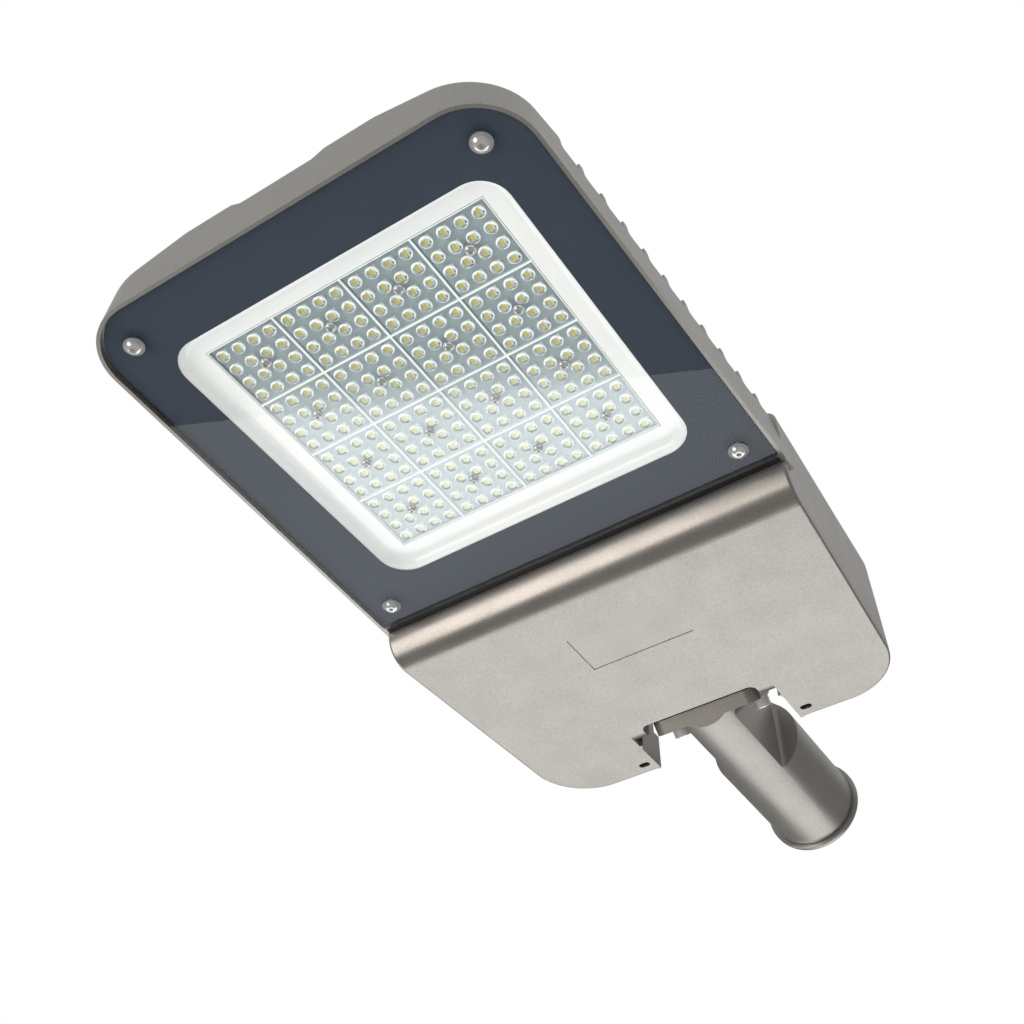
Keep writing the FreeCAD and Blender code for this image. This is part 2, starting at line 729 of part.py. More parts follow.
def block_side(front, drop):
    """Side-view outline of the rear compartment; its lower front corner follows the roll."""
    low = PARTING_Z
    rear = BLOCK_REAR_X - OVERSIZE
    front_top = CREST_REAR_Z - (front - BLOCK_FRONT_X) * BLOCK_TOP_SLOPE - drop
    rear_top = TOP_REAR_Z + OVERSIZE * BLOCK_TOP_SLOPE - drop
    return [(rear, low, 0), (front, low, COVER_ROLL - COVER_LIP), (front, front_top, 0), (rear, rear_top, 0)]


def rear_block():
    """Outer solid of the rear compartment with rounded top edges."""
    high = TOP_REAR_Z + OVERSIZE
    front = COVER_FRONT_X - COVER_LIP
    body = plan_loft(block_outline(PARTING_Z, 0, PARTING_Z), PARTING_Z,
                     block_outline(high, 0, PARTING_Z), high)
    body = body.common(side_prism(block_side(front, 0), GLASS_REAR_WIDTH))
    top = max(body.Faces, key=lambda face: face.CenterOfMass.z)
    edges = [edge for edge in top.Edges if edge.BoundBox.XMin < front - OVERLAP]
    return body.makeFillet(BLOCK_EDGE_RADIUS, edges)


def rear_cavity():
    """Space of the rear compartment, open to the cover below."""
    high = TOP_REAR_Z + OVERSIZE
    low = PARTING_Z - COVER_LIP
    body = plan_loft(block_outline(PARTING_Z, WALL, PARTING_Z), low,
                     block_outline(high, WALL, PARTING_Z), high)
    front = BLOCK_FRONT_X - WALL
    rear = BLOCK_REAR_X - OVERSIZE
    side = [(rear, low - OVERLAP, 0), (front, low - OVERLAP, 0),
            (front, ceiling_z(front), 0), (rear, ceiling_z(rear), 0)]
    body = body.common(side_prism(side, GLASS_REAR_WIDTH))
    return body.cut(cavity_foot())


def cavity_foot():
    """Thicker foot of the compartment's walls that presses the cover's seal."""
    low = PARTING_Z - OVERSIZE
    high = PARTING_Z + FOOT_HEIGHT
    ring = plan_prism(cover_outline(0), low, high)
    return ring.cut(plan_prism(seal_hole(COVER_WALL + SEAL_WIDTH), low - OVERLAP, high + OVERLAP))


def bay_half():
    """Half width of the housing's opening for the spigot, outside the cover's notch walls."""
    return NOTCH_WIDTH / 2 + COVER_WALL + COVER_GAP


def bay_cut():
    """Open bay under the slanted seat of the spigot."""
    room = box(COVER_REAR_X - OVERSIZE, FAR, -bay_half(), bay_half(), COVER_Z - OVERSIZE, TOP_REAR_Z)
    return joint_block(0, FAR).common(room)


def bay_walls():
    """Side walls and slanted seat wall round the bay, inside the compartment."""
    half = bay_half() + WALL
    room = box(COVER_REAR_X, FAR, -half, half, PARTING_Z + COVER_GAP, TOP_REAR_Z - WALL)
    return joint_block(-SEAT_WALL, FAR).common(room)


def seat_bosses():
    """Thickened places behind the seat for the bolts' threads."""
    bosses = []
    for side in (-1, 1):
        bosses.append(joint_rod(SEAT_BOSS, side * BOLT_SPACING / 2, -SEAT_BOSS_DEPTH, SEAT_BOSS_DEPTH))
    return bosses


def ceiling_z(x):
    """Height of the compartment's ceiling along X."""
    return CREST_REAR_Z - (x - BLOCK_FRONT_X) * BLOCK_TOP_SLOPE - WALL


def housing():
    """Die-cast housing: finned front, rear compartment and the spigot's seat."""
    body = finned_body().cut(nose_dip())
    for facet in nose_facets():
        body = body.cut(facet)
    for cutter in fin_gaps():
        body = body.cut(cutter)
    block = rear_block()
    body = fuse_all([body, block])
    cavity = rear_cavity().cut(bay_walls())
    for boss in seat_bosses() + ceiling_bosses() + cover_bosses():
        cavity = cavity.cut(boss)
    body = body.cut(cavity)
    body = body.cut(bay_cut())
    body = fuse_all([body] + glass_bosses())
    body = body.cut(plan_prism(glass_outline(GLASS_GAP), GLASS_Z - OVERLAP, LEDGE_Z))
    body = body.cut(nose_hollow())
    pocket = TRAY_OPENING + 2 * (TRAY_WALL + TRAY_POCKET_GAP)
    body = body.cut(plan_prism(square_outline(ENGINE_X, 0, pocket, pocket, TRAY_CORNER + TRAY_WALL),
                               LEDGE_Z - OVERLAP, ENGINE_BASE_Z))
    for hole in housing_holes():
        body = body.cut(hole)
    return body


def nose_hollow():
    """Hollow under the nose's roof, inside the ledge of the glass gasket."""
    roof = NOSE_TOP_Z - NOSE_DIP_DEPTH - WALL
    low = LEDGE_Z - OVERLAP
    body = plan_prism(glass_outline(-GASKET_INSET - GASKET_WIDTH - LEDGE_MARGIN), low, roof)
    rear = CREST_FRONT_X + WALL + FIN_THICKNESS / 2
    body = body.common(box(rear, TIP_X, -GLASS_REAR_WIDTH, GLASS_REAR_WIDTH, low, roof))
    for facet in nose_facets():
        facet.translate(V(0, 0, -WALL))
        body = body.cut(facet)
    for x, y in glass_screw_places():
        body = body.cut(rod(BOSS_DIAMETER, x, y, low, FAR))
    return body


def glass_bosses():
    """Posts above the ledge for the glass screws."""
    height = GLASS_SCREW_LENGTH - (LEDGE_Z - GLASS_Z) + BOSS_ROOF
    return [rod(BOSS_DIAMETER, x, y, LEDGE_Z + OVERLAP, height) for x, y in glass_screw_places()]


def driver_x():
    """Middle of the driver along X."""
    return BLOCK_FRONT_X - WALL - DRIVER_SETBACK - DRIVER_WIDTH / 2


def driver_top():
    """Mounting face of the driver under the ceiling."""
    return ceiling_z(driver_x() + DRIVER_WIDTH / 2) - DRIVER_CEILING_GAP


def driver_screw_places():
    """Centres of the driver's two screws in its end tabs."""
    reach = DRIVER_LENGTH / 2 + DRIVER_TAB / 2
    return [(driver_x(), -reach), (driver_x(), reach)]


def small_part_centre(side):
    """Middle of the mounting face of a small electrical part on one side."""
    x = COVER_REAR_X + SMALL_PART_SETBACK
    return (x, side * (cover_half_width(x, 0) - SMALL_PART_MARGIN))


def foot_screw_offset(size):
    """Distance of a small part's screws from its middle."""
    return (size[0] - SMALL_FOOT_LENGTH) / 2


def small_screw_places():
    """Centres of the screws of the surge protector and the terminal block."""
    places = []
    for side, size in ((1, SURGE_SIZE), (-1, TERMINAL_SIZE)):
        x, y = small_part_centre(side)
        offset = foot_screw_offset(size)
        places += [(x, y - offset), (x, y + offset)]
    return places


def small_part_z():
    """Level of the mounting faces of the small electrical parts."""
    return ceiling_z(COVER_REAR_X + SMALL_PART_SETBACK) - SMALL_PART_DROP


def ceiling_bosses():
    """Posts hanging from the ceiling for the electrical parts."""
    posts = [rod(DRIVER_POST, x, y, driver_top(), FAR) for x, y in driver_screw_places()]
    return posts + [rod(SMALL_POST, x, y, small_part_z(), FAR) for x, y in small_screw_places()]


def cover_screw_places():
    """Centres of the two cover screws."""
    x = COVER_REAR_X + COVER_SCREW_INSET
    return [(x, -COVER_SCREW_SPACING / 2), (x, COVER_SCREW_SPACING / 2)]


def cover_bosses():
    """Posts in the rear of the compartment for the cover screws."""
    return [rod(BOSS_DIAMETER, x, y, PARTING_Z, FAR) for x, y in cover_screw_places()]


def thread_hole(diameter, x, y, face, depth):
    """Upright threaded hole, up from a mounting face."""
    return rod(diameter, x, y, face - OVERLAP, depth + THREAD_RUN_OUT + OVERLAP)


def housing_holes():
    """Threaded and passing holes of the casting."""
    holes = []
    glass_depth = GLASS_SCREW_LENGTH - SLEEVE_FLANGE_THICKNESS - (LEDGE_Z - GLASS_Z)
    for x, y in glass_screw_places():
        holes.append(thread_hole(GLASS_SCREW_DIAMETER, x, y, LEDGE_Z, glass_depth))
    for row, column, x, y in module_places():
        hole = rod(LENS_SCREW_DIAMETER, x, y, BOARD_Z, LENS_SCREW_END_Z - BOARD_Z + LENS_SCREW_RUN_OUT)
        holes.append(hole)
    for x, y in driver_screw_places():
        holes.append(thread_hole(DRIVER_SCREW_DIAMETER, x, y, driver_top(),
                                 DRIVER_SCREW_LENGTH - DRIVER_TAB_THICKNESS))
    for x, y in small_screw_places():
        holes.append(thread_hole(SMALL_SCREW_DIAMETER, x, y, small_part_z(),
                                 SMALL_SCREW_LENGTH - SMALL_FOOT_THICKNESS))
    cover_depth = COVER_SCREW_LENGTH - (PARTING_Z - cover_screw_seat())
    for x, y in cover_screw_places():
        holes.append(thread_hole(COVER_SCREW_DIAMETER, x, y, PARTING_Z, cover_depth))
    for side in (-1, 1):
        holes.append(joint_rod(BOLT_DIAMETER, side * BOLT_SPACING / 2,
                               -BOLT_THREAD_DEPTH, BOLT_THREAD_DEPTH + OVERLAP))
    holes.append(x_rod(CABLE_BORE / 2, SPIGOT_REACH - CABLE_BORE, 2 * CABLE_BORE))
    holes.append(gland_hole())
    return holes


def gland_start():
    """Middle of the lead gland's nut on the wall between the two compartments."""
    return V(BLOCK_FRONT_X - WALL, GLAND_OFFSET, ENGINE_BASE_Z - GLAND_DROP)


def gland_hole():
    """Way for the leads from the rear compartment to the light engine."""
    start = gland_start() - V(OVERLAP, 0, 0)
    length = ENGINE_X - TRAY_OPENING / 2 - start.x
    return Part.makeCylinder(GLAND_BORE / 2, length, start, V(1, 0, 0))


# Cover under the rear compartment

def cover_outline(inset):
    """Plan outline of the cover, inset all round."""
    rear = COVER_REAR_X + inset
    front = COVER_FRONT_X - inset
    half = [(rear, cover_half_width(rear, inset), BLOCK_CORNER - inset),
            (front, cover_half_width(front, inset), 0)]
    return mirrored(half)


def notch_outline(grow):
    """Plan outline of the stepped notch for the spigot, grown by a margin."""
    step_x = COVER_REAR_X + NOTCH_DEPTH + grow
    nose_x = step_x + NOTCH_NOSE_DEPTH
    wide = NOTCH_WIDTH / 2 + grow
    narrow = NOTCH_NOSE_WIDTH / 2 + grow
    rear = COVER_REAR_X - OVERSIZE
    corner = NOTCH_CORNER
    half = [(rear, wide, 0), (step_x, wide, corner), (step_x, narrow, corner), (nose_x, narrow, corner)]
    return mirrored(half)


def cover_band(inset):
    """Side-view outline of the cover: flat floor and the big roll behind the glass."""
    low = COVER_Z + inset
    roll = COVER_ROLL - inset
    high = GLASS_Z + OVERSIZE
    rear = COVER_REAR_X - OVERSIZE
    front = COVER_FRONT_X - inset
    return [(rear, low, 0), (front, low, roll), (front, high, 0), (rear, high, 0)]


def cover_shell():
    """Dished skin of the cover: flat floor, roll behind the glass and low lip."""
    top = GLASS_Z - COVER_GAP
    outer = plan_prism(cover_outline(0), COVER_Z, top)
    outer = outer.common(side_prism(cover_band(0), GLASS_REAR_WIDTH))
    edges = [edge for edge in outer.Edges
             if edge.BoundBox.ZMax < COVER_Z + OVERLAP
             and edge.CenterOfMass.x < COVER_FRONT_X - COVER_ROLL - OVERLAP]
    outer = outer.makeFillet(COVER_EDGE, edges)
    skin = outer.cut(side_prism(cover_band(COVER_LIP - COVER_GAP), GLASS_REAR_WIDTH))
    hollow = plan_prism(cover_outline(COVER_WALL), COVER_Z, GLASS_Z)
    return skin.cut(hollow.common(side_prism(cover_band(COVER_WALL), GLASS_REAR_WIDTH)))


def notch_walls():
    """Upright walls round the notch, ending just under the slanted seat."""
    walls = plan_prism(notch_outline(COVER_WALL), COVER_Z, COVER_Z + NOTCH_WALL_HEIGHT)
    walls = walls.common(box(COVER_REAR_X, FAR, -FAR, FAR, COVER_Z, GLASS_Z + OVERSIZE))
    return walls.common(joint_block(COVER_SEAT_GAP, FAR))


def notch_hole():
    """Space of the notch through the cover."""
    return plan_prism(notch_outline(0), COVER_Z - OVERSIZE, GLASS_Z + OVERSIZE)


def notch_rolls():
    """Rolled edges of the floor on both sides of the neck's slot: skins and cuts."""
    rear = COVER_REAR_X + NOTCH_DEPTH
    front = rear + NOTCH_ROLL
    high = COVER_Z + NOTCH_ROLL
    near = NOTCH_NOSE_WIDTH / 2
    side = NOTCH_WIDTH / 2
    axis = V(front, 0, high)
    full = Part.makeCylinder(NOTCH_ROLL, FAR, axis, V(0, 1, 0))
    inner = Part.makeCylinder(NOTCH_ROLL - COVER_WALL, FAR, axis, V(0, 1, 0))
    skin = box(rear, front, near, side + COVER_WALL, COVER_Z, high).common(full).cut(inner)
    waste = box(rear - OVERLAP, front, near - OVERLAP, side, COVER_Z - OVERLAP, high).cut(full)
    return both_sides(skin), both_sides(waste)


def driver_cover():
    """Die-cast cover: rolled front, notch with upright walls, slotted screw holes."""
    skins, wastes = notch_rolls()
    body = fuse_all([cover_shell(), notch_walls()] + cover_lugs() + skins)
    body = body.cut(notch_hole())
    for waste in wastes:
        body = body.cut(waste)
    for x, y in cover_screw_places():
        body = body.cut(cover_slot(x, y))
    return body.cut(bare_recess())


def cover_lugs():
    """Posts on the cover's floor round the two screws."""
    low = COVER_Z + OVERLAP
    high = PARTING_Z - COVER_GAP
    return [rod(BOSS_DIAMETER, x, y, low, high - low) for x, y in cover_screw_places()]


def cover_slot(x, y):
    """Slotted hole for a cover screw."""
    outline = square_outline(x, y, COVER_SLOT_WIDTH, COVER_SLOT_LENGTH, COVER_SLOT_WIDTH / 2 - 0.01)
    return plan_prism(outline, COVER_Z - OVERLAP, PARTING_Z)


def bare_recess():
    """Shallow bare rectangle in the cover's flat face."""
    front = COVER_FRONT_X - RECESS_SETBACK
    half = RECESS_WIDTH / 2
    return box(front - RECESS_LENGTH, front, -half, half, COVER_Z - OVERLAP, COVER_Z + RECESS_DEPTH)


def cover_seal():
    """Rubber ring inside the cover's lip, pressed by the foot of the housing's walls."""
    outer = plan_prism(cover_outline(COVER_WALL + SEAL_PLAY), COVER_Z, GLASS_Z - COVER_GAP)
    outer = outer.common(side_prism(cover_band(COVER_WALL), GLASS_REAR_WIDTH))
    seal = outer.cut(side_prism(cover_band(COVER_LIP - SEAL_PLAY), GLASS_REAR_WIDTH))
    seal = seal.cut(plan_prism(seal_hole(COVER_WALL + SEAL_WIDTH), COVER_Z, GLASS_Z))
    seal = seal.cut(plan_prism(notch_outline(COVER_WALL + SEAL_PLAY), COVER_Z, GLASS_Z))
    for x, y in cover_screw_places():
        seal = seal.cut(rod(BOSS_DIAMETER + 2 * SEAL_PLAY, x, y, COVER_Z, COVER_LIP))
    return seal


def seal_hole(inset):
    """Plan outline inside the seal, straight across behind the housing's front wall."""
    rear = COVER_REAR_X + inset
    front = BLOCK_FRONT_X - WALL
    half = [(rear, cover_half_width(rear, inset), BLOCK_CORNER - inset),
            (front, cover_half_width(front, inset), 0)]
    return mirrored(half)


def cover_screw_seat():
    """Level of the cover screws' outer ends, sunk into their slots."""
    return COVER_Z + COVER_SCREW_SINK


def cover_screws():
    """Captive screws of the cover, sunk behind the slots."""
    screws = []
    low = cover_screw_seat()
    for x, y in cover_screw_places():
        head = rod(COVER_SLOT_WIDTH - SLEEVE_PLAY, x, y, low, COVER_SCREW_HEAD_HEIGHT)
        shank = rod(COVER_SCREW_DIAMETER - SCREW_PLAY, x, y, low + OVERLAP, COVER_SCREW_LENGTH - OVERLAP)
        screws.append(head.fuse(shank).removeSplitter())
    return group(screws)


# Glass, gasket, light engine

def glass_pane():
    """Flat toughened glass with four screw holes."""
    pane = plan_prism(glass_outline(0), GLASS_Z, GLASS_Z + GLASS_THICKNESS)
    for x, y in glass_screw_places():
        pane = pane.cut(rod(GLASS_SCREW_HOLE, x, y, GLASS_Z - OVERLAP, OVERSIZE))
    return pane


def glass_gasket():
    """Silicone ring between the glass and the housing's ledge."""
    low = GLASS_Z + GLASS_THICKNESS
    ring = plan_prism(glass_outline(-GASKET_INSET), low, low + GASKET_THICKNESS)
    hole = plan_prism(glass_outline(-GASKET_INSET - GASKET_WIDTH), low, low + OVERSIZE)
    return ring.cut(hole)


def glass_screws():
    """Button head screws at the corners of the glass."""
    screws = []
    seat = GLASS_Z - SLEEVE_FLANGE_THICKNESS
    for x, y in glass_screw_places():
        screws.append(button_screw(x, y, seat, GLASS_SCREW_HEAD, GLASS_SCREW_HEAD_HEIGHT,
                                   GLASS_SCREW_DIAMETER - SCREW_PLAY, GLASS_SCREW_LENGTH, GLASS_SCREW_KEY))
    return group(screws)


def button_screw(x, y, seat, head_width, head_height, diameter, length, key_size):
    """Upright screw with a domed head below its seat and a hexagon socket."""
    shank = rod(diameter, x, y, seat - OVERLAP, length + OVERLAP)
    head = button_head(x, y, seat, head_width, head_height)
    key = hex_prism(key_size, OVERLAP + head_height / 2, V(x, y, seat - head_height - OVERLAP), V(0, 0, 1))
    return head.fuse(shank).removeSplitter().cut(key)


def button_head(x, y, z, diameter, height):
    """Domed screw head hanging below a level; its flank is one arc."""
    radius = diameter / 2
    rim = V(radius, 0, 0)
    flat = V(radius * 0.45, 0, -height)
    bend = V(radius * 0.86, 0, -height * 0.62)
    edges = [Part.LineSegment(V(0, 0, 0), rim).toShape(),
             Part.Arc(rim, bend, flat).toShape(),
             Part.LineSegment(flat, V(0, 0, -height)).toShape(),
             Part.LineSegment(V(0, 0, -height), V(0, 0, 0)).toShape()]
    head = Part.Face(Part.Wire(edges)).revolve(V(0, 0, 0), V(0, 0, 1), 360)
    head.translate(V(x, y, z))
    return head


def glass_sleeves():
    """Flanged nylon sleeves that keep the screws off the glass."""
    sleeves = []
    for x, y in glass_screw_places():
        flange = rod(SLEEVE_FLANGE, x, y, GLASS_Z - SLEEVE_FLANGE_THICKNESS, SLEEVE_FLANGE_THICKNESS)
        barrel = rod(GLASS_SCREW_HOLE - SLEEVE_PLAY, x, y, GLASS_Z - SLEEVE_FLANGE_THICKNESS / 2,
                     GLASS_THICKNESS)
        sleeve = flange.fuse(barrel).removeSplitter()
        sleeves.append(sleeve.cut(rod(GLASS_SCREW_DIAMETER + SCREW_PLAY, x, y, GLASS_Z - OVERLAP, OVERSIZE)))
    return group(sleeves)


def reflector_tray():
    """White tray: coved walls round a flat floor with a square opening for the lenses."""
    low = GLASS_Z + GLASS_THICKNESS + TRAY_GLASS_GAP
    floor = LENS_FACE_Z + TRAY_WALL
    size = TRAY_OPENING + 2 * TRAY_WALL
    outer = plan_prism(square_outline(ENGINE_X, 0, size, size, TRAY_CORNER + TRAY_WALL), low, floor)
    outer = soften_top(outer, floor, TRAY_COVE)
    inner = plan_prism(square_outline(ENGINE_X, 0, TRAY_OPENING, TRAY_OPENING, TRAY_CORNER),
                       low - OVERLAP, LENS_FACE_Z)
    inner = soften_top(inner, LENS_FACE_Z, TRAY_COVE - TRAY_WALL)
    opening = ENGINE_SIZE + 2 * TRAY_WINDOW_GAP
    hole = plan_prism(square_outline(ENGINE_X, 0, opening, opening, 0), low, floor + OVERLAP)
    return outer.cut(inner).cut(hole)


def soften_top(solid, level, radius):
    """Round the upper edges of a prism."""
    edges = [edge for edge in solid.Edges
             if edge.BoundBox.ZMin > level - 1e-4 and edge.BoundBox.ZMax < level + 1e-4]
    return solid.makeFillet(radius, edges)


def led_board(column):
    """Aluminium circuit board under one line of modules."""
    y = (column - (MODULE_COUNT + 1) / 2) * MODULE_PITCH
    length = ENGINE_SIZE - 2 * BOARD_END_GAP
    board = box(ENGINE_X - length / 2, ENGINE_X + length / 2,
                y - BOARD_WIDTH / 2, y + BOARD_WIDTH / 2, BOARD_Z, BOARD_Z + BOARD_THICKNESS)
    for row, col, x, my in module_places():
        if col == column:
            board = board.cut(rod(LENS_SCREW_DIAMETER + SCREW_PLAY, x, my, BOARD_Z - OVERLAP, OVERSIZE))
    return board


def led_chips(column):
    """LED packages on the board of one line of modules."""
    half = CHIP_SIZE / 2
    chips = []
    for row, col, x, y in module_places():
        if col != column:
            continue
        for dx in lens_offsets():
            for dy in lens_offsets():
                chips.append(box(x + dx - half, x + dx + half, y + dy - half, y + dy + half,
                                 BOARD_Z - CHIP_HEIGHT, BOARD_Z))
    return group(chips)


def lens_bump(x, y):
    """One lens as a low cone with flat sides, hanging below the module's plate."""
    wires = []
    for z, radius in ((LENS_FACE_Z - LENS_HEIGHT, LENS_TOP_RADIUS), (LENS_FACE_Z, LENS_BASE_RADIUS)):
        corners = []
        for i in range(LENS_SIDES):
            angle = 2 * math.pi * i / LENS_SIDES
            corners.append(V(x + radius * math.cos(angle), y + radius * math.sin(angle), z))
        wires.append(Part.makePolygon(corners + corners[:1]))
    return Part.makeLoft(wires, True, True)


def lens_module():
    """Clear lens plate with its sixteen lenses, centred on the Z axis."""
    plate = plan_prism(square_outline(0, 0, MODULE_SIZE, MODULE_SIZE, 0), LENS_FACE_Z, BOARD_Z)
    bumps = []
    for dx in lens_offsets():
        for dy in lens_offsets():
            bumps.append(lens_bump(dx, dy))
    plate = plate.multiFuse(bumps).removeSplitter()
    inner = MODULE_SIZE - 2 * LENS_RIM
    pocket = plan_prism(square_outline(0, 0, inner, inner, 0), BOARD_Z - LENS_BACK_POCKET, BOARD_Z + OVERLAP)
    boss = plan_prism(square_outline(0, 0, LENS_BOSS, LENS_BOSS, 0), LENS_FACE_Z, BOARD_Z + OVERLAP)
    plate = plate.cut(pocket.cut(boss))
    return plate.cut(rod(LENS_SCREW_DIAMETER + SCREW_PLAY, 0, 0, LENS_FACE_Z - OVERSIZE, 2 * OVERSIZE))


def lens_screws():
    """Pan head screws through the middle of each lens module."""
    screws = []
    for row, column, x, y in module_places():
        screws.append(button_screw(x, y, LENS_FACE_Z, LENS_SCREW_HEAD, LENS_SCREW_HEAD_HEIGHT,
                                   LENS_SCREW_DIAMETER - SCREW_PLAY, LENS_SCREW_LENGTH, LENS_SCREW_KEY))
    return group(screws)


# Electrical parts

def driver():
    """Sealed LED driver with screw tabs at its ends."""
    top = driver_top()
    x = driver_x()
    half = DRIVER_WIDTH / 2
    case = box(x - half, x + half, -DRIVER_LENGTH / 2, DRIVER_LENGTH / 2, top - DRIVER_HEIGHT, top)
    lower_edges = [edge for edge in case.Edges
                   if edge.BoundBox.YLength > DRIVER_LENGTH / 2 and edge.BoundBox.ZMax < top - OVERLAP]
    case = case.makeFillet(DRIVER_EDGE, lower_edges)
    reach = DRIVER_LENGTH / 2 + DRIVER_TAB
    half_tab = DRIVER_TAB_WIDTH / 2
    body = fuse_all([case, box(x - half_tab, x + half_tab, -reach, reach, top - DRIVER_TAB_THICKNESS, top)])
    for px, py in driver_screw_places():
        body = body.cut(rod(DRIVER_SCREW_DIAMETER + SCREW_PLAY, px, py, top - OVERSIZE, 2 * OVERSIZE))
    return body


def pan_screw(x, y, seat, head_width, head_height, diameter, length):
    """Upright screw with a flat round head below its seat."""
    head = rod(head_width, x, y, seat - head_height, head_height)
    return head.fuse(rod(diameter, x, y, seat - OVERLAP, length + OVERLAP)).removeSplitter()


def driver_screws():
    """Pan head screws in the driver's tabs."""
    seat = driver_top() - DRIVER_TAB_THICKNESS
    return group([pan_screw(x, y, seat, DRIVER_SCREW_HEAD, DRIVER_SCREW_HEAD_HEIGHT,
                            DRIVER_SCREW_DIAMETER - SCREW_PLAY, DRIVER_SCREW_LENGTH)
                  for x, y in driver_screw_places()])


def hung_block(side, size):
    """Moulded block under its mounting face, with a screw foot at each end."""
    x, y = small_part_centre(side)
    length, width, height = size
    top = small_part_z()
    half = width / 2
    body = length / 2 - SMALL_FOOT_LENGTH
    foot = half - SMALL_FOOT_SETBACK
    block = fuse_all([box(x - half, x + half, y - body, y + body, top - height, top),
                      box(x - foot, x + foot, y - length / 2, y + length / 2,
                          top - SMALL_FOOT_THICKNESS, top)])
    offset = foot_screw_offset(size)
    for hole_y in (y - offset, y + offset):
        block = block.cut(rod(SMALL_SCREW_DIAMETER + SCREW_PLAY, x, hole_y, top - OVERSIZE, 2 * OVERSIZE))
    return block


def surge_protector():
    """Potted surge protector."""
    return hung_block(1, SURGE_SIZE)


def terminal_block():
    """Three-way terminal block with wire entries and screw wells."""
    body = hung_block(-1, TERMINAL_SIZE)
    x, y = small_part_centre(-1)
    length, width, height = TERMINAL_SIZE
    top = small_part_z()
    for i in (-1, 0, 1):
        way = y + i * TERMINAL_PITCH
        entry = V(x - width / 2 - OVERLAP, way, top - TERMINAL_ENTRY_DROP)
        body = body.cut(Part.makeCylinder(TERMINAL_ENTRY / 2, width + 2 * OVERLAP, entry, V(1, 0, 0)))
        body = body.cut(rod(TERMINAL_WELL, x, way, top - height - OVERLAP, TERMINAL_WELL_DEPTH + OVERLAP))
    return body


def small_screws():
    """Screws of the surge protector and the terminal block."""
    seat = small_part_z() - SMALL_FOOT_THICKNESS
    return group([pan_screw(x, y, seat, SMALL_SCREW_HEAD, SMALL_SCREW_HEAD_HEIGHT,
                            SMALL_SCREW_DIAMETER - SCREW_PLAY, SMALL_SCREW_LENGTH)
                  for x, y in small_screw_places()])


def lead_gland():
    """Sealing bush for the leads through the wall to the light engine."""
    start = gland_start()
    along = V(1, 0, 0)
    neck = Part.makeCylinder(GLAND_BORE / 2 - SCREW_PLAY, GLAND_NECK, start, along)
    nut = hex_prism(GLAND_NUT, GLAND_NUT_HEIGHT, start - along * GLAND_NUT_HEIGHT, along)
    hole = Part.makeCylinder(GLAND_LEAD_HOLE / 2, FAR, start - along * OVERSIZE, along)
    return neck.fuse(nut).removeSplitter().cut(hole)


def export(name, shape):
    """Write one sub-part."""
    shape.exportStep("parts/" + name + ".step")


def main():
    """Build and write every sub-part."""
    os.makedirs("parts", exist_ok=True)
    export("housing", housing())
    export("driver_cover", driver_cover())
    export("cover_seal", cover_seal())
    export("cover_screws", cover_screws())
    export("glass_pane", glass_pane())
    export("glass_gasket", glass_gasket())
    export("glass_screws", glass_screws())
    export("glass_screw_sleeves", glass_sleeves())
    export("reflector_tray", reflector_tray())
    module = lens_module()
    for row, column, x, y in module_places():
        placed = module.copy()
        placed.translate(V(x, y, 0))
        export("lens_module_%d_%d" % (row, column), placed)
    export("lens_screws", lens_screws())
    for column in range(1, MODULE_COUNT + 1):
        export("led_board_%d" % column, led_board(column))
        export("led_chips_%d" % column, led_chips(column))
    export("spigot", spigot())
    export("spigot_bolts", spigot_bolts())
    export("spigot_washers", bolt_washers())
    export("spigot_gasket", joint_gasket())
    export("pole_set_screws", set_screws())
    export("driver", driver())
    export("driver_screws", driver_screws())
    export("surge_protector", surge_protector())
    export("terminal_block", terminal_block())
    export("terminal_and_surge_screws", small_screws())
    export("lead_gland", lead_gland())


main()
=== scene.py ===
import bpy
import numpy as np
from bpy.props import FloatProperty, FloatVectorProperty, IntProperty, PointerProperty
from bpy.types import Node, NodeSocket, Operator, Panel, PropertyGroup
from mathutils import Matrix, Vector


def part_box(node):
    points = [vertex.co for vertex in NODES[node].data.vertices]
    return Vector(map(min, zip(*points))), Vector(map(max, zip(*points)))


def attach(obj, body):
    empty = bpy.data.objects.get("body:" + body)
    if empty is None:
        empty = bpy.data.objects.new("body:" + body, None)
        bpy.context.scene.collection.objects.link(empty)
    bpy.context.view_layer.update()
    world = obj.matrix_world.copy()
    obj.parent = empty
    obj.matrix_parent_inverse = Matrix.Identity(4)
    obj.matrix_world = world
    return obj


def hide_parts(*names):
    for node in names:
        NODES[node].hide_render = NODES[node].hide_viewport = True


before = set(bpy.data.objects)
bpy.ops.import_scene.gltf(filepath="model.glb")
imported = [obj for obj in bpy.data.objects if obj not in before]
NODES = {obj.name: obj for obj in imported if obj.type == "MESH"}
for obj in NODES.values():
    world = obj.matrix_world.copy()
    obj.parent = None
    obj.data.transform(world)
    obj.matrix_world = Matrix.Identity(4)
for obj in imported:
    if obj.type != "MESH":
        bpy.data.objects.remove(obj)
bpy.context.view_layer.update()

bl_info = {
    "name": "LED Street Light Head",
    "version": (1, 0, 0),
    "blender": (4, 5, 0),
    "location": "View3D > Sidebar > Street Light",
    "description": "Lenses, diodes, glass, printed border and finishes of a cast LED lamp head",
    "category": "Add Mesh",
}

BODY = "root"
MM = 0.001
QUARTER = np.pi / 2


def named(start):
    """Names of the CAD nodes that begin with the given words."""
    found = sorted(name for name in NODES if name.startswith(start))
    if not found:
        raise ValueError("no CAD node begins with " + start)
    return found


def node_box(name):
    """Lowest and highest corner of a CAD node, in millimetres."""
    low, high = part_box(name)
    return np.array(low) / MM, np.array(high) / MM


# Node trees

GLASS_IOR = 1.52
ACRYLIC_IOR = 1.49
# Strength of the painted glow on what lies under a lens, standing in for the light that the lens
# gathers on it
PAINTED_GLOW = 0.15
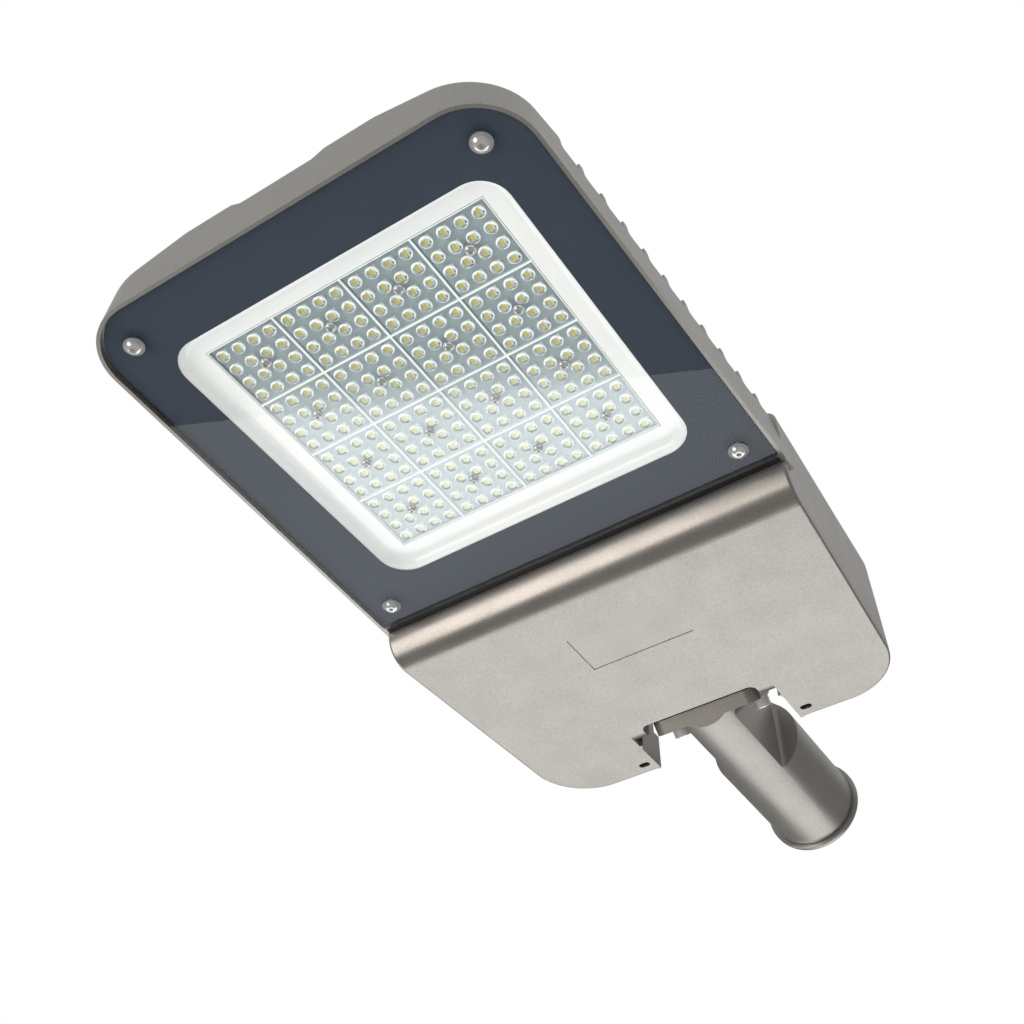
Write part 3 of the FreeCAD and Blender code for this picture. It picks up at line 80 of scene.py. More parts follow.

# Finishes in two close tones: low and high tone, width of the grain in millimetres (coarser
# than the real grain, so that it shows), roughness, share of metal, and strength of painted glow
FINISHES = {
    # Frosted acrylic, as it leaves the mould: a soft white line round each module
    "frosted_acrylic_rim": ("F4FBFB", "FFFFFF", 2.0, 0.5, 0.0, 0.0),
    # Moulded diode package: a clean white under each lens, with a painted glow
    "moulded_white_package": ("E6ECEC", "FFFFFF", 1.0, 0.4, 0.0, PAINTED_GLOW),
    # Phosphor in cast silicone: the yellow heart of each lens, with a painted glow
    "cast_phosphor_silicone": ("F0D22A", "FFE860", 1.5, 0.45, 0.0, PAINTED_GLOW),
    # Painted dark reflection: a small near black spot beside the yellow, drawn as a part,
    # standing in for the lens's inner reflection
    "painted_dark_reflection": ("141414", "242424", 0.5, 0.5, 0.0, 0.0),
    # Painted shadow: a thin grey line beside the yellow, with a dull shine
    "painted_shadow_stripe": ("8B9093", "A6ABAE", 0.8, 0.4, 0.3, 0.0),
    # Screen printed solder mask: a pale ground with a faint cool tint
    "pale_solder_mask": ("DFE9EC", "EEF4F6", 7.0, 0.35, 0.0, 0.0),
    # Plated screw heads: bright, and mirroring the room almost sharply
    "nickel_plated_steel": ("D6D6D5", "EEEEED", 0.8, 0.12, 0.75, 0.0),
    # Tumbled stainless bolts: bright, with a softer mirror
    "tumbled_stainless_steel": ("DCDCDA", "F4F4F2", 0.8, 0.16, 0.6, 0.0),
    # Blackened steel screws: near black with a dull gleam
    "black_oxide_steel": ("101010", "1C1B1A", 1.0, 0.45, 0.8, 0.0),
    # Moulded nylon sleeves: an even cool grey
    "moulded_nylon": ("70757B", "858A90", 2.0, 0.4, 0.0, 0.0),
    # Moulded silicone seals: black and dull
    "moulded_silicone_rubber": ("1A1A1A", "262626", 1.5, 0.7, 0.0, 0.0),
    # Painted sheet case of the driver: a dark satin grey
    "painted_driver_case": ("34363A", "404247", 1.5, 0.5, 0.0, 0.0),
    # Moulded polyamide of the terminal block and the surge protector: dark and dull
    "moulded_polyamide": ("1B1C1F", "282A2E", 1.5, 0.55, 0.0, 0.0),
}


def linear(hex_value):
    """Shader colour from an sRGB hex string such as "C0B8A8"."""
    parts = np.array([int(hex_value[i:i + 2], 16) for i in (0, 2, 4)]) / 255
    light = np.where(parts <= 0.04045, parts / 12.92, ((parts + 0.055) / 1.055) ** 2.4)
    return (*(float(value) for value in light), 1.0)


def scaled(colour, share):
    """Shader colour with each part multiplied by a share and kept below 1."""
    return (*(min(part * share, 1.0) for part in colour), 1.0)


def add_node(tree, kind, sockets=(), **settings):
    """Adds a shader node, sets its properties, and sets or links its input sockets.

    A socket's entry is a plain value, an output, or a node whose first output in use is linked.
    """
    made = tree.nodes.new(kind)
    for key, value in settings.items():
        setattr(made, key, value)
    for key, value in dict(sockets).items():
        if isinstance(value, Node):
            value = next(output for output in value.outputs if output.enabled)
        if isinstance(value, NodeSocket):
            tree.links.new(value, made.inputs[key])
        else:
            made.inputs[key].default_value = value
    return made


def new_tree(name):
    """New material and its empty node tree."""
    material = bpy.data.materials.new(name)
    material.use_nodes = True
    material.node_tree.nodes.clear()
    return material, material.node_tree


def grain(tree, size_mm, detail=2.0, roughness=0.5):
    """Pattern on the piece's own coordinates whose blotches are about size_mm across."""
    place = add_node(tree, "ShaderNodeTexCoord")
    return add_node(tree, "ShaderNodeTexNoise",
                    {"Vector": place.outputs["Object"], "Scale": 1 / (size_mm * MM),
                     "Detail": detail, "Roughness": roughness})


def outer_mirror(tree, ior, amount=1.0, normal=None):
    """Share of light mirrored by a clear skin's outer face; its inner face mirrors none.

    The share is Fresnel's times the amount, never over 1, and nothing on a back face.
    """
    fresnel = add_node(tree, "ShaderNodeFresnel",
                       {"IOR": ior} if normal is None else {"IOR": ior, "Normal": normal})
    side = add_node(tree, "ShaderNodeNewGeometry")
    front = add_node(tree, "ShaderNodeMapRange",
                     {"Value": side.outputs["Backfacing"], "To Min": amount, "To Max": 0.0})
    return add_node(tree, "ShaderNodeMath", {0: fresnel, 1: front},
                    operation="MULTIPLY", use_clamp=True)


def powder_coat():
    """Polyester powder coat with aluminium flake, sprayed and baked on the die castings.

    The flake makes a fine light and dark speckle and mirrors the room broadly, so the
    flat cover is pale, its roll carries a bright band and a dark one, and the sides go dark.
    A real flake is a few hundredths of a millimetre wide; it is drawn coarser, so it shows.
    """
    look = bpy.context.scene.lamp_finish
    material, tree = new_tree("aluminium_flake_powder_coat")
    flake = grain(tree, look.flake_size / MM, 3.0, 0.7)
    cloud = grain(tree, 30.0)
    speckle = add_node(tree, "ShaderNodeMapRange",
                       {"Value": flake, "From Min": 0.32, "From Max": 0.68})
    colour = add_node(tree, "ShaderNodeMix",
                      {"Factor": speckle, "A": scaled(look.coat_colour, 0.86),
                       "B": scaled(look.coat_colour, 1.13)}, data_type="RGBA")
    rough = add_node(tree, "ShaderNodeMapRange",
                     {"Value": cloud, "From Min": 0.3, "From Max": 0.7,
                      "To Min": look.coat_roughness - 0.03, "To Max": look.coat_roughness + 0.03})
    relief = add_node(tree, "ShaderNodeBump",
                      {"Height": flake, "Distance": 0.05 * MM, "Strength": 0.5})
    shader = add_node(tree, "ShaderNodeBsdfPrincipled",
                      {"Base Color": colour, "Metallic": look.coat_metal, "Roughness": rough,
                       "Normal": relief})
    add_node(tree, "ShaderNodeOutputMaterial", {"Surface": shader})
    return material


def float_glass():
    """Toughened float glass, flame polished on both faces.

    It passes the light almost unchanged and mirrors the studio by Fresnel's law, so the
    border behind it is split into a dark and a light zone by the studio's reflection.
    """
    material, tree = new_tree("toughened_float_glass")
    tint = add_node(tree, "ShaderNodeMix",
                    {"Factor": grain(tree, 60.0), "A": linear("FBFEFE"), "B": linear("FFFFFF")},
                    data_type="RGBA")
    clear = add_node(tree, "ShaderNodeBsdfTransparent", {"Color": tint})
    mirror = add_node(tree, "ShaderNodeBsdfAnisotropic", {"Roughness": 0.0})
    shader = add_node(tree, "ShaderNodeMixShader",
                      {0: outer_mirror(tree, GLASS_IOR), 1: clear, 2: mirror})
    add_node(tree, "ShaderNodeOutputMaterial", {"Surface": shader})
    return material


def ceramic_ink():
    """Blue-black ceramic ink, printed on the glass's inner face and fired into it.

    It has no shine of its own: all that it mirrors is the glass in front of it.
    """
    look = bpy.context.scene.lamp_finish
    material, tree = new_tree("fired_ceramic_ink")
    colour = add_node(tree, "ShaderNodeMix",
                      {"Factor": grain(tree, 45.0, 3.0), "A": scaled(look.ink_colour, 0.96),
                       "B": scaled(look.ink_colour, 1.04)}, data_type="RGBA")
    shader = add_node(tree, "ShaderNodeBsdfPrincipled",
                      {"Base Color": colour, "Roughness": 0.6, "Specular IOR Level": 0.0})
    add_node(tree, "ShaderNodeOutputMaterial", {"Surface": shader})
    return material


def white_coat():
    """White powder coat on the pressed tray: bright, glossy, and a little uneven."""
    material, tree = new_tree("white_powder_coat")
    cloud = grain(tree, 20.0)
    colour = add_node(tree, "ShaderNodeMix",
                      {"Factor": cloud, "A": linear("EEEDEC"), "B": linear("F5F4F3")},
                      data_type="RGBA")
    relief = add_node(tree, "ShaderNodeBump",
                      {"Height": cloud, "Distance": 0.2 * MM, "Strength": 0.2})
    shader = add_node(tree, "ShaderNodeBsdfPrincipled",
                      {"Base Color": colour, "Roughness": 0.15, "Coat Weight": 1.0,
                       "Coat Roughness": 0.1, "Normal": relief})
    add_node(tree, "ShaderNodeOutputMaterial", {"Surface": shader})
    return material


def plate_acrylic():
    """Moulded acrylic plate between the lenses, drawn as a thin clear skin.

    Its many inner faces turn light back, so it mirrors the studio far more than a single
    polished face does, and the boards behind it get a dark zone and a light one.
    """
    material, tree = new_tree("moulded_acrylic_plate")
    relief = add_node(tree, "ShaderNodeBump",
                      {"Height": grain(tree, 8.0, 3.0), "Distance": 0.1 * MM, "Strength": 0.2})
    clear = add_node(tree, "ShaderNodeBsdfTransparent", {"Color": linear("F8FBFC")})
    mirror = add_node(tree, "ShaderNodeBsdfAnisotropic", {"Roughness": 0.12, "Normal": relief})
    shader = add_node(tree, "ShaderNodeMixShader",
                      {0: outer_mirror(tree, ACRYLIC_IOR, 8.7, relief), 1: clear, 2: mirror})
    add_node(tree, "ShaderNodeOutputMaterial", {"Surface": shader})
    return material


def dome_acrylic():
    """Polished acrylic lens: clear in the middle, and white at its foot.

    Its foot carries a ragged white ring, a painted highlight with a painted glow for the light
    that the foot gathers and sends out. The attribute foot runs from 0 on the lens's axis to 1 at
    its rim.
    """
    material, tree = new_tree("polished_acrylic_dome")
    ragged = add_node(tree, "ShaderNodeMapRange",
                      {"Value": grain(tree, 2.5), "From Min": 0.3, "From Max": 0.7,
                       "To Min": -0.12, "To Max": 0.12})
    foot = add_node(tree, "ShaderNodeAttribute", attribute_name="foot")
    place = add_node(tree, "ShaderNodeMath", {0: foot.outputs["Fac"], 1: ragged},
                     operation="ADD")
    ring = add_node(tree, "ShaderNodeMapRange",
                    {"Value": place, "From Min": 0.74, "From Max": 0.86, "To Max": 0.95})
    clear = add_node(tree, "ShaderNodeBsdfTransparent", {"Color": linear("FBFDFD")})
    # Painted highlight ring: an opaque white with a painted glow
    white = add_node(tree, "ShaderNodeBsdfPrincipled",
                     {"Base Color": linear("FBFFFF"), "Roughness": 0.4,
                      "Emission Color": linear("FBFFFF"), "Emission Strength": PAINTED_GLOW})
    body = add_node(tree, "ShaderNodeMixShader", {0: ring, 1: clear, 2: white})
    mirror = add_node(tree, "ShaderNodeBsdfAnisotropic", {"Roughness": 0.05})
    shader = add_node(tree, "ShaderNodeMixShader",
                      {0: outer_mirror(tree, ACRYLIC_IOR), 1: body, 2: mirror})
    add_node(tree, "ShaderNodeOutputMaterial", {"Surface": shader})
    return material


def mottled(name):
    """Two close tones of one of the plain finishes, mottled at its grain, with a faint relief.

    Behind a lens the finish also has a painted glow, standing in for the light that the lens
    gathers on it.
    """
    low, high, size_mm, roughness, metal, painted_glow = FINISHES[name]
    material, tree = new_tree(name)
    speckle = grain(tree, size_mm, 3.0)
    colour = add_node(tree, "ShaderNodeMix",
                      {"Factor": speckle, "A": linear(low), "B": linear(high)},
                      data_type="RGBA")
    relief = add_node(tree, "ShaderNodeBump",
                      {"Height": speckle, "Distance": 0.05 * MM, "Strength": 0.2})
    shader = add_node(tree, "ShaderNodeBsdfPrincipled",
                      {"Base Color": colour, "Roughness": roughness, "Metallic": metal,
                       "Emission Color": colour, "Emission Strength": painted_glow,
                       "Normal": relief})
    add_node(tree, "ShaderNodeOutputMaterial", {"Surface": shader})
    return material


def dress(names, material):
    """Gives CAD nodes one material."""
    for name in names:
        mesh = NODES[name].data
        mesh.materials.clear()
        mesh.materials.append(material)


# Meshes from arrays, all in millimetres until they are stored

def make_piece(name, points, faces, materials, nodes=(), indices=None, smooth=False):
    """Mesh object from arrays, riding on the head and standing for the given CAD nodes.

    indices holds each face's material, and smooth tells which faces are shaded as round.
    """
    mesh = bpy.data.meshes.new(name)
    mesh.from_pydata((np.asarray(points) * MM).tolist(), [], [list(face) for face in faces])
    for material in materials:
        mesh.materials.append(material)
    count = len(mesh.polygons)
    if indices is not None:
        mesh.polygons.foreach_set("material_index", np.asarray(indices, dtype=np.int32))
    mesh.polygons.foreach_set("use_smooth", np.broadcast_to(smooth, count).copy())
    piece = bpy.data.objects.new(name, mesh)
    bpy.context.scene.collection.objects.link(piece)
    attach(piece, BODY)
    if nodes:
        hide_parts(*nodes)
    return piece


def grid_faces(rows, columns, closed_rows=False):
    """Quads between neighbouring rows of a grid whose columns run round in a ring.

    Each quad goes along its row and then on to the next one, so its face points outwards
    where the rows climb round a counter-clockwise ring.
    """
    row = np.arange(rows if closed_rows else rows - 1)[:, None]
    column = np.arange(columns)[None, :]
    below = (row + 1) % rows
    after = (column + 1) % columns
    quads = np.stack([row * columns + column, row * columns + after,
                      below * columns + after, below * columns + column], axis=-1)
    return quads.reshape(-1, 4)


def turned_over(faces):
    """Faces with their corners in the opposite order, so that they point the other way."""
    return faces[:, ::-1]


def repeat_at(points, places, *face_sets):
    """One small mesh repeated at a list of places: all points, then each set of faces."""
    moved = (points[None] + places[:, None]).reshape(-1, 3)
    steps = len(points) * np.arange(len(places))[:, None, None]
    return moved, *((faces[None] + steps).reshape(-1, faces.shape[1]) for faces in face_sets)


def rounded_outline(corners, steps=12):
    """Closed outline with rounded corners, counter-clockwise.

    Each corner is (x, y, radius, start angle): its points are its centre plus the radius
    times the cosine and sine of an angle that runs on from the start by a quarter turn.
    """
    parts = []
    for x, y, radius, start in corners:
        angle = np.linspace(start, start + QUARTER, steps)
        parts.append(np.column_stack([x + radius * np.cos(angle), y + radius * np.sin(angle)]))
    return np.vstack(parts)


def block(low, high):
    """Points and faces of a small block between two corners."""
    signs = np.array([[0, 0, 0], [1, 0, 0], [1, 1, 0], [0, 1, 0],
                      [0, 0, 1], [1, 0, 1], [1, 1, 1], [0, 1, 1]])
    points = np.array(low) + signs * (np.array(high) - np.array(low))
    faces = np.array([[0, 3, 2, 1], [4, 5, 6, 7], [0, 1, 5, 4],
                      [1, 2, 6, 5], [2, 3, 7, 6], [3, 0, 4, 7]])
    return points, faces


# Settings

class LampLensSettings(PropertyGroup):
    """Sizes of the lens modules and diodes."""
    dome_radius: FloatProperty(
        name="Dome radius", description="Radius of each lens at its foot",
        default=4.2 * MM, precision=5, unit="LENGTH")
    dome_height: FloatProperty(
        name="Dome height", description="How far a lens stands out of its plate",
        default=1.7 * MM, precision=5, unit="LENGTH")
    dome_pitch: FloatProperty(
        name="Dome pitch", description="Distance between lenses",
        default=12.0 * MM, precision=5, unit="LENGTH")
    domes: IntProperty(
        name="Domes", description="Lenses along one side of a module", default=4, min=1)
    rim: FloatProperty(
        name="Frosted rim", description="Width of the white rim round a module",
        default=0.55 * MM, precision=5, unit="LENGTH")
    diode_length: FloatProperty(
        name="Diode length", description="Phosphor along the head",
        default=4.7 * MM, precision=5, unit="LENGTH")
    diode_width: FloatProperty(
        name="Diode width", description="Phosphor across the head",
        default=2.0 * MM, precision=5, unit="LENGTH")


class LampGlassSettings(PropertyGroup):
    """Sizes of the printed border on the glass."""
    front_half_width: FloatProperty(
        name="Front half width", description="Half width of the glass at its tip",
        default=147.5 * MM, precision=5, unit="LENGTH")
    front_corner: FloatProperty(
        name="Front corner", description="Radius of the two front corners",
        default=38.0 * MM, precision=5, unit="LENGTH")
    rear_corner: FloatProperty(
        name="Rear corner", description="Radius of the two rear corners",
        default=4.0 * MM, precision=5, unit="LENGTH")
    edge: FloatProperty(
        name="Clear edge", description="Unprinted margin at the glass's edge",
        default=0.15 * MM, precision=5, unit="LENGTH")
    window: FloatProperty(
        name="Window", description="Size of the square window",
        default=234.0 * MM, precision=5, unit="LENGTH")
    window_corner: FloatProperty(
        name="Window corner", description="Radius of the window's corners",
        default=20.0 * MM, precision=5, unit="LENGTH")


class LampFinishSettings(PropertyGroup):
    """Colours and grain of the finishes."""
    coat_colour: FloatVectorProperty(
        name="Coat colour", description="Powder coat on the castings",
        subtype="COLOR", default=linear("B0ADA8")[:3], size=3, min=0, max=1)
    coat_roughness: FloatProperty(
        name="Coat roughness", description="How broadly the coat shines",
        subtype="FACTOR", default=0.31, min=0, max=1)
    coat_metal: FloatProperty(
        name="Coat metal", description="Share of metal flake in the coat",
        subtype="FACTOR", default=0.9, min=0, max=1)
    flake_size: FloatProperty(
        name="Flake size", description="Width of a speckle in the coat",
        default=1.1 * MM, precision=5, unit="LENGTH")
    ink_colour: FloatVectorProperty(
        name="Ink colour", description="Border printed on the glass",
        subtype="COLOR", default=linear("363D47")[:3], size=3, min=0, max=1)


class LampStageSettings(PropertyGroup):
    """Camera, floor and lamps."""
    lens: FloatProperty(
        name="Focal length", description="Camera lens on a 36 mm sensor",
        default=50.12, unit="CAMERA")
    floor: FloatProperty(
        name="Floor height", description="Level of the floor", default=-1.25, unit="LENGTH")
    rear_light: FloatProperty(
        name="Rear light", description="Brightness of the softbox behind", default=1.28)
    rear_width: FloatProperty(
        name="Rear width", description="Width of the softbox behind", default=1.8,
        unit="LENGTH")
    front_light: FloatProperty(
        name="Front light", description="Brightness of the softbox in front", default=2.35)
    top_light: FloatProperty(
        name="Top light", description="Brightness of the softbox above", default=1.6)
    fill: FloatProperty(
        name="Fill", description="Strength of the room's soft light", default=1.2)
    gloss_low: FloatProperty(
        name="Mirrored horizon", description="The room's lower part in reflections",
        default=0.16)
    gloss_high: FloatProperty(
        name="Mirrored ceiling", description="The room's upper part in reflections",
        default=0.46)


# Pieces of the light engine, with levels measured down from the boards' lower face

PLATE_HALF = 24.95
PLATE_BACK = 0.6
PLATE_FACE = 3.0
RIM_STEP = 0.25
DOME_ROWS, DOME_COLUMNS = 6, 20
# Order of a module's materials
PLATE, DOME, RIM = range(3)


def module_centres():
    """Names of the lens modules and the middles of their CAD boxes in x and y."""
    names = named("lens_module_")
    boxes = [node_box(name) for name in names]
    return names, np.array([(low + high) / 2 for low, high in boxes])[:, :2]


def lens_places(centre, level, size):
    """Square grid of places about a module's centre, all at one level."""
    line = (np.arange(size.domes) - (size.domes - 1) / 2) * size.dome_pitch / MM
    dx, dy = np.meshgrid(line, line, indexing="ij")
    return np.column_stack([centre[0] + dx.ravel(), centre[1] + dy.ravel(),
                            np.full(dx.size, level)])


def dome_mesh(radius, height):
    """Lens that stands on its plate: a super-ellipse turned about its axis.

    A point's distance from the axis is the radius times the sine of an angle and its drop
    is the height times the cosine to the power 0.8, so the lens is full at its shoulder.
    """
    angle = np.linspace(0, QUARTER, DOME_ROWS)[1:]
    turn = np.linspace(0, 2 * np.pi, DOME_COLUMNS, endpoint=False)
    reach = radius * np.sin(angle)
    drop = -height * np.abs(np.cos(angle)) ** 0.8
    points = np.stack([reach[:, None] * np.cos(turn), reach[:, None] * np.sin(turn),
                       np.broadcast_to(drop[:, None], (len(angle), DOME_COLUMNS))], axis=-1)
    points = np.vstack([points.reshape(-1, 3), [[0, 0, -height]]])
    ring = np.arange(DOME_COLUMNS)
    tip = np.full(DOME_COLUMNS, len(points) - 1)
    cap = np.stack([ring, tip, (ring + 1) % DOME_COLUMNS], axis=-1)
    return points, grid_faces(len(angle), DOME_COLUMNS), cap


class LAMP_OT_lenses(Operator):
    """Builds the sixteen clear lens modules: plate, frosted rim and sixteen domes each"""
    bl_idname = "lamp.lenses"
    bl_label = "Lens modules"

    def execute(self, context):
        size = context.scene.lamp_lens
        materials = (plate_acrylic(), dome_acrylic(), mottled("frosted_acrylic_rim"))
        board = node_box("led_board_1")[0][2]
        for name, centre in zip(*module_centres()):
            build_module(name, centre, board, size, materials)
        return {"FINISHED"}


def build_module(name, centre, board, size, materials):
    """One module: a square plate with a rim that stands a little proud, and domes below it.

    The plate is four square rings, from its back edge down to its face, in over the rim's
    slanted lip, and back up to the face; two quads close it. Each dome stands on the face.
    """
    face = board - PLATE_FACE
    inner = PLATE_HALF - size.rim / MM
    rings = [(PLATE_HALF, board - PLATE_BACK), (PLATE_HALF, face), (inner, face - RIM_STEP),
             (inner, face)]
    square = np.array([[1, 1], [-1, 1], [-1, -1], [1, -1]])
    plate = np.vstack([np.column_stack([centre + square * reach, np.full(4, level)])
                       for reach, level in rings])
    rim_faces = turned_over(grid_faces(len(rings), 4))
    dome, sides, cap = dome_mesh(size.dome_radius / MM, size.dome_height / MM)
    places = lens_places(centre, face, size)
    domes, side_faces, cap_faces = repeat_at(dome, places, sides, cap)
    faces = [*rim_faces, [15, 14, 13, 12], [0, 1, 2, 3], *(side_faces + len(plate)),
             *(cap_faces + len(plate))]
    indices = np.repeat((RIM, PLATE, DOME),
                        (len(rim_faces), 2, len(side_faces) + len(cap_faces)))
    piece = make_piece(name + "_clear", np.vstack([plate, domes]), faces, materials,
                       (name,), indices, indices == DOME)
    foot = np.ones(len(plate) + len(domes))
    foot[len(plate):] = np.tile(np.hypot(dome[:, 0], dome[:, 1]) / dome[:, 0].max(), len(places))
    piece.data.attributes.new("foot", "FLOAT", "POINT").data.foreach_set("value", foot)
    # Clear acrylic lets the light through to the boards
    piece.visible_shadow = False


# Levels of a diode's parts about the middle of its drawn place: each part's lower face, and
# the back that the small parts share, a little inside the package
PACKAGE_LEVEL, PHOSPHOR_LEVEL, SHADOW_STRIPE_LEVEL, PART_BACK = -0.5, -0.7, -0.56, -0.45
# A lens lifts the image of its diode to its own foot, so the diode is drawn this far down
DIODE_DROP = 2.2
# How far the package runs into the board
PACKAGE_ROOT = 0.05


class LAMP_OT_diodes(Operator):
    """Builds the 256 diodes: package, phosphor, a painted dark reflection beside it and a painted
    shadow stripe
    """
    bl_idname = "lamp.diodes"
    bl_label = "Diodes"

    def execute(self, context):
        size = context.scene.lamp_lens
        level = node_box("led_board_1")[0][2] - DIODE_DROP
        places = np.vstack([lens_places(centre, level, size) for centre in module_centres()[1]])
        length, width = size.diode_length / MM / 2, size.diode_width / MM / 2
        # Each part as a block from its low corner to its high corner about the place
        parts = {
            "moulded_white_package": ((-length - 0.2, -width - 1.8, PACKAGE_LEVEL),
                                      (length + 0.2, width + 2.2, DIODE_DROP + PACKAGE_ROOT)),
            "cast_phosphor_silicone": ((-length, -width - 0.4, PHOSPHOR_LEVEL),
                                       (length, width - 0.4, PART_BACK)),
            # Painted dark reflection: a near black spot beside the phosphor
            "painted_dark_reflection": ((-1.9, width + 1.0, PHOSPHOR_LEVEL), (-0.7, width + 1.9, PART_BACK)),
            # Painted shadow: a thin grey stripe beside the phosphor
            "painted_shadow_stripe": ((-length, -width - 1.3, SHADOW_STRIPE_LEVEL),
                                (length, -width - 0.8, PART_BACK)),
        }
        copies = [repeat_at(points, places, faces)
                  for points, faces in (block(*corners) for corners in parts.values())]
        count, face_count = len(copies[0][0]), len(copies[0][1])
        points = np.vstack([many for many, _ in copies])
        faces = np.vstack([many + index * count for index, (_, many) in enumerate(copies)])
        make_piece("diodes", points, faces, [mottled(name) for name in parts],
                   named("led_chips_"), np.repeat(np.arange(len(parts)), face_count))
        return {"FINISHED"}


# Depth of the print's two faces inside the glass, from its inner face
PRINT_FACE, PRINT_BACK = 0.06, 0.01


class LAMP_OT_glass(Operator):
    """Gives the glass its finish and prints the dark border on its inner face"""
    bl_idname = "lamp.glass"
    bl_label = "Glass and printed border"

    def execute(self, context):
        size = context.scene.lamp_glass
        dress(("glass_pane",), float_glass())
        low, high = node_box("glass_pane")
        tray_low, tray_high = node_box("reflector_tray")
        # The outline narrows from the rear corners to the front ones
        edge, a, b = size.edge / MM, size.front_corner / MM, size.rear_corner / MM
        front, rear = high[0] - edge - a, low[0] + edge + b
        narrow, wide = size.front_half_width / MM - edge - a, high[1] - edge - b
        outer = rounded_outline([(front, narrow, a, 0), (rear, wide, b, QUARTER),
                                 (rear, -wide, b, 2 * QUARTER), (front, -narrow, a, 3 * QUARTER)])
        # The window is a rounded square about the tray's middle
        middle, r = (tray_low[0] + tray_high[0]) / 2, size.window_corner / MM
        half = size.window / MM / 2 - r
        window = rounded_outline([(middle + half, half, r, 0), (middle - half, half, r, QUARTER),
                                  (middle - half, -half, r, 2 * QUARTER),
                                  (middle + half, -half, r, 3 * QUARTER)])
        face, back = high[2] - PRINT_FACE, high[2] - PRINT_BACK
        rings = [(outer, face), (window, face), (window, back), (outer, back)]
        points = np.vstack([np.column_stack([line, np.full(len(line), z)]) for line, z in rings])
        faces = turned_over(grid_faces(len(rings), len(outer), True))
        make_piece("printed_border", points, faces, (ceramic_ink(),))
        return {"FINISHED"}


class LAMP_OT_engine(Operator):
    """Finishes the tray, the boards and the screws of the modules and the glass"""
    bl_idname = "lamp.engine"
    bl_label = "Tray and boards"

    def execute(self, context):
        dress(("reflector_tray",), white_coat())
        dress(named("led_board_"), mottled("pale_solder_mask"))
        dress(("lens_screws", "glass_screws"), mottled("nickel_plated_steel"))
        return {"FINISHED"}


class LAMP_OT_castings(Operator):
    """Powder coats the housing, the driver cover and the spigot"""
    bl_idname = "lamp.castings"
    bl_label = "Castings"

    def execute(self, context):
        dress(("housing", "driver_cover", "spigot"), powder_coat())
        return {"FINISHED"}


class LAMP_OT_fasteners(Operator):
    """Finishes the bolts, washers, small screws and sleeves"""
    bl_idname = "lamp.fasteners"
    bl_label = "Fasteners"

    def execute(self, context):
        dress(("spigot_bolts", "spigot_washers", "driver_screws", "terminal_and_surge_screws"),
              mottled("tumbled_stainless_steel"))
        dress(("cover_screws", "pole_set_screws"), mottled("black_oxide_steel"))
        dress(("glass_screw_sleeves",), mottled("moulded_nylon"))
        return {"FINISHED"}


# Room that the seal's lip leaves in its joint and at the glass's two sides, its half height,
# and the points round it
LIP_GAP, LIP_END, LIP_HEIGHT, LIP_POINTS = 0.05, 0.6, 0.25, 24


def seal_lip(rubber):
    """Lip of the glass's seal that fills the joint behind the glass.

    Its section is an ellipse, as wide as the joint, carried straight across the head.
    """
    glass_low, glass_high = node_box("glass_pane")
    cover_front = node_box("driver_cover")[1][0]
    middle, half = (cover_front + glass_low[0]) / 2, (glass_low[0] - cover_front) / 2 - LIP_GAP
    turn = np.linspace(0, 2 * np.pi, LIP_POINTS, endpoint=False)
    ends = np.array([-1, 1]) * (glass_high[1] - LIP_END)
    x, y, z = np.broadcast_arrays(middle + half * np.cos(turn), ends[:, None],
                                  glass_low[2] + LIP_HEIGHT * np.sin(turn))
    points = np.stack([x, y, z], axis=-1).reshape(-1, 3)
    faces = [*turned_over(grid_faces(2, LIP_POINTS)), range(LIP_POINTS),
             range(2 * LIP_POINTS - 1, LIP_POINTS - 1, -1)]
    make_piece("glass_seal_lip", points, faces, (rubber,), smooth=True)


class LAMP_OT_seals(Operator):
    """Finishes the rubber seals and the parts inside the rear compartment"""
    bl_idname = "lamp.seals"
    bl_label = "Seals and inner parts"

    def execute(self, context):
        rubber = mottled("moulded_silicone_rubber")
        dress(("glass_gasket", "cover_seal", "spigot_gasket", "lead_gland"), rubber)
        seal_lip(rubber)
        dress(("driver",), mottled("painted_driver_case"))
        dress(("surge_protector", "terminal_block"), mottled("moulded_polyamide"))
        return {"FINISHED"}


# Stage, in metres

CAMERA_PLACE = (0.9988, 0.3511, -0.6655)
CAMERA_FORWARD = (-0.5951, -0.3902, 0.7025)
SENSOR_WIDTH_MM = 36.0
FLOOR_REACH = 4.0
# Two points of the near edge of the rear softbox, which lies just over the floor
REAR_EDGE = ((-0.084, -1.092), (-0.495, -0.222))
REAR_LENGTH, REAR_LIFT = 4.0, 0.01
# Place, facing, width, height and colour of the two hanging softboxes
FRONT_SOFTBOX = ((1.73, -0.71, -0.74), (-0.79, 0.42, 0.42), 1.0, 1.95, "FFF6EF")
TOP_SOFTBOX = ((-0.5, -1.1, 1.6), (0.8, 1.1, -1.6), 1.2, 1.2, "FFFFFF")
# Sines of the heights between which the mirrored room goes from dark to pale
MIRRORED_LOW, MIRRORED_HIGH = 0.35, 0.68


class LAMP_OT_stage(Operator):
    """Sets the pale floor, the studio light and the camera"""
    bl_idname = "lamp.stage"
    bl_label = "Stage"

    def execute(self, context):
        add_world()
        add_floor()
        add_lights()
        add_camera()
        context.scene.view_settings.view_transform = "Standard"
        return {"FINISHED"}


def add_camera():
    """Camera at the photograph's place, looking up at the glass."""
    data = bpy.data.cameras.new("camera")
    data.lens = bpy.context.scene.lamp_stage.lens
    data.sensor_width = SENSOR_WIDTH_MM
    camera = bpy.data.objects.new("camera", data)
    bpy.context.scene.collection.objects.link(camera)
    camera.location = CAMERA_PLACE
    camera.rotation_euler = Vector(CAMERA_FORWARD).to_track_quat("-Z", "Y").to_euler()
    bpy.context.scene.camera = camera


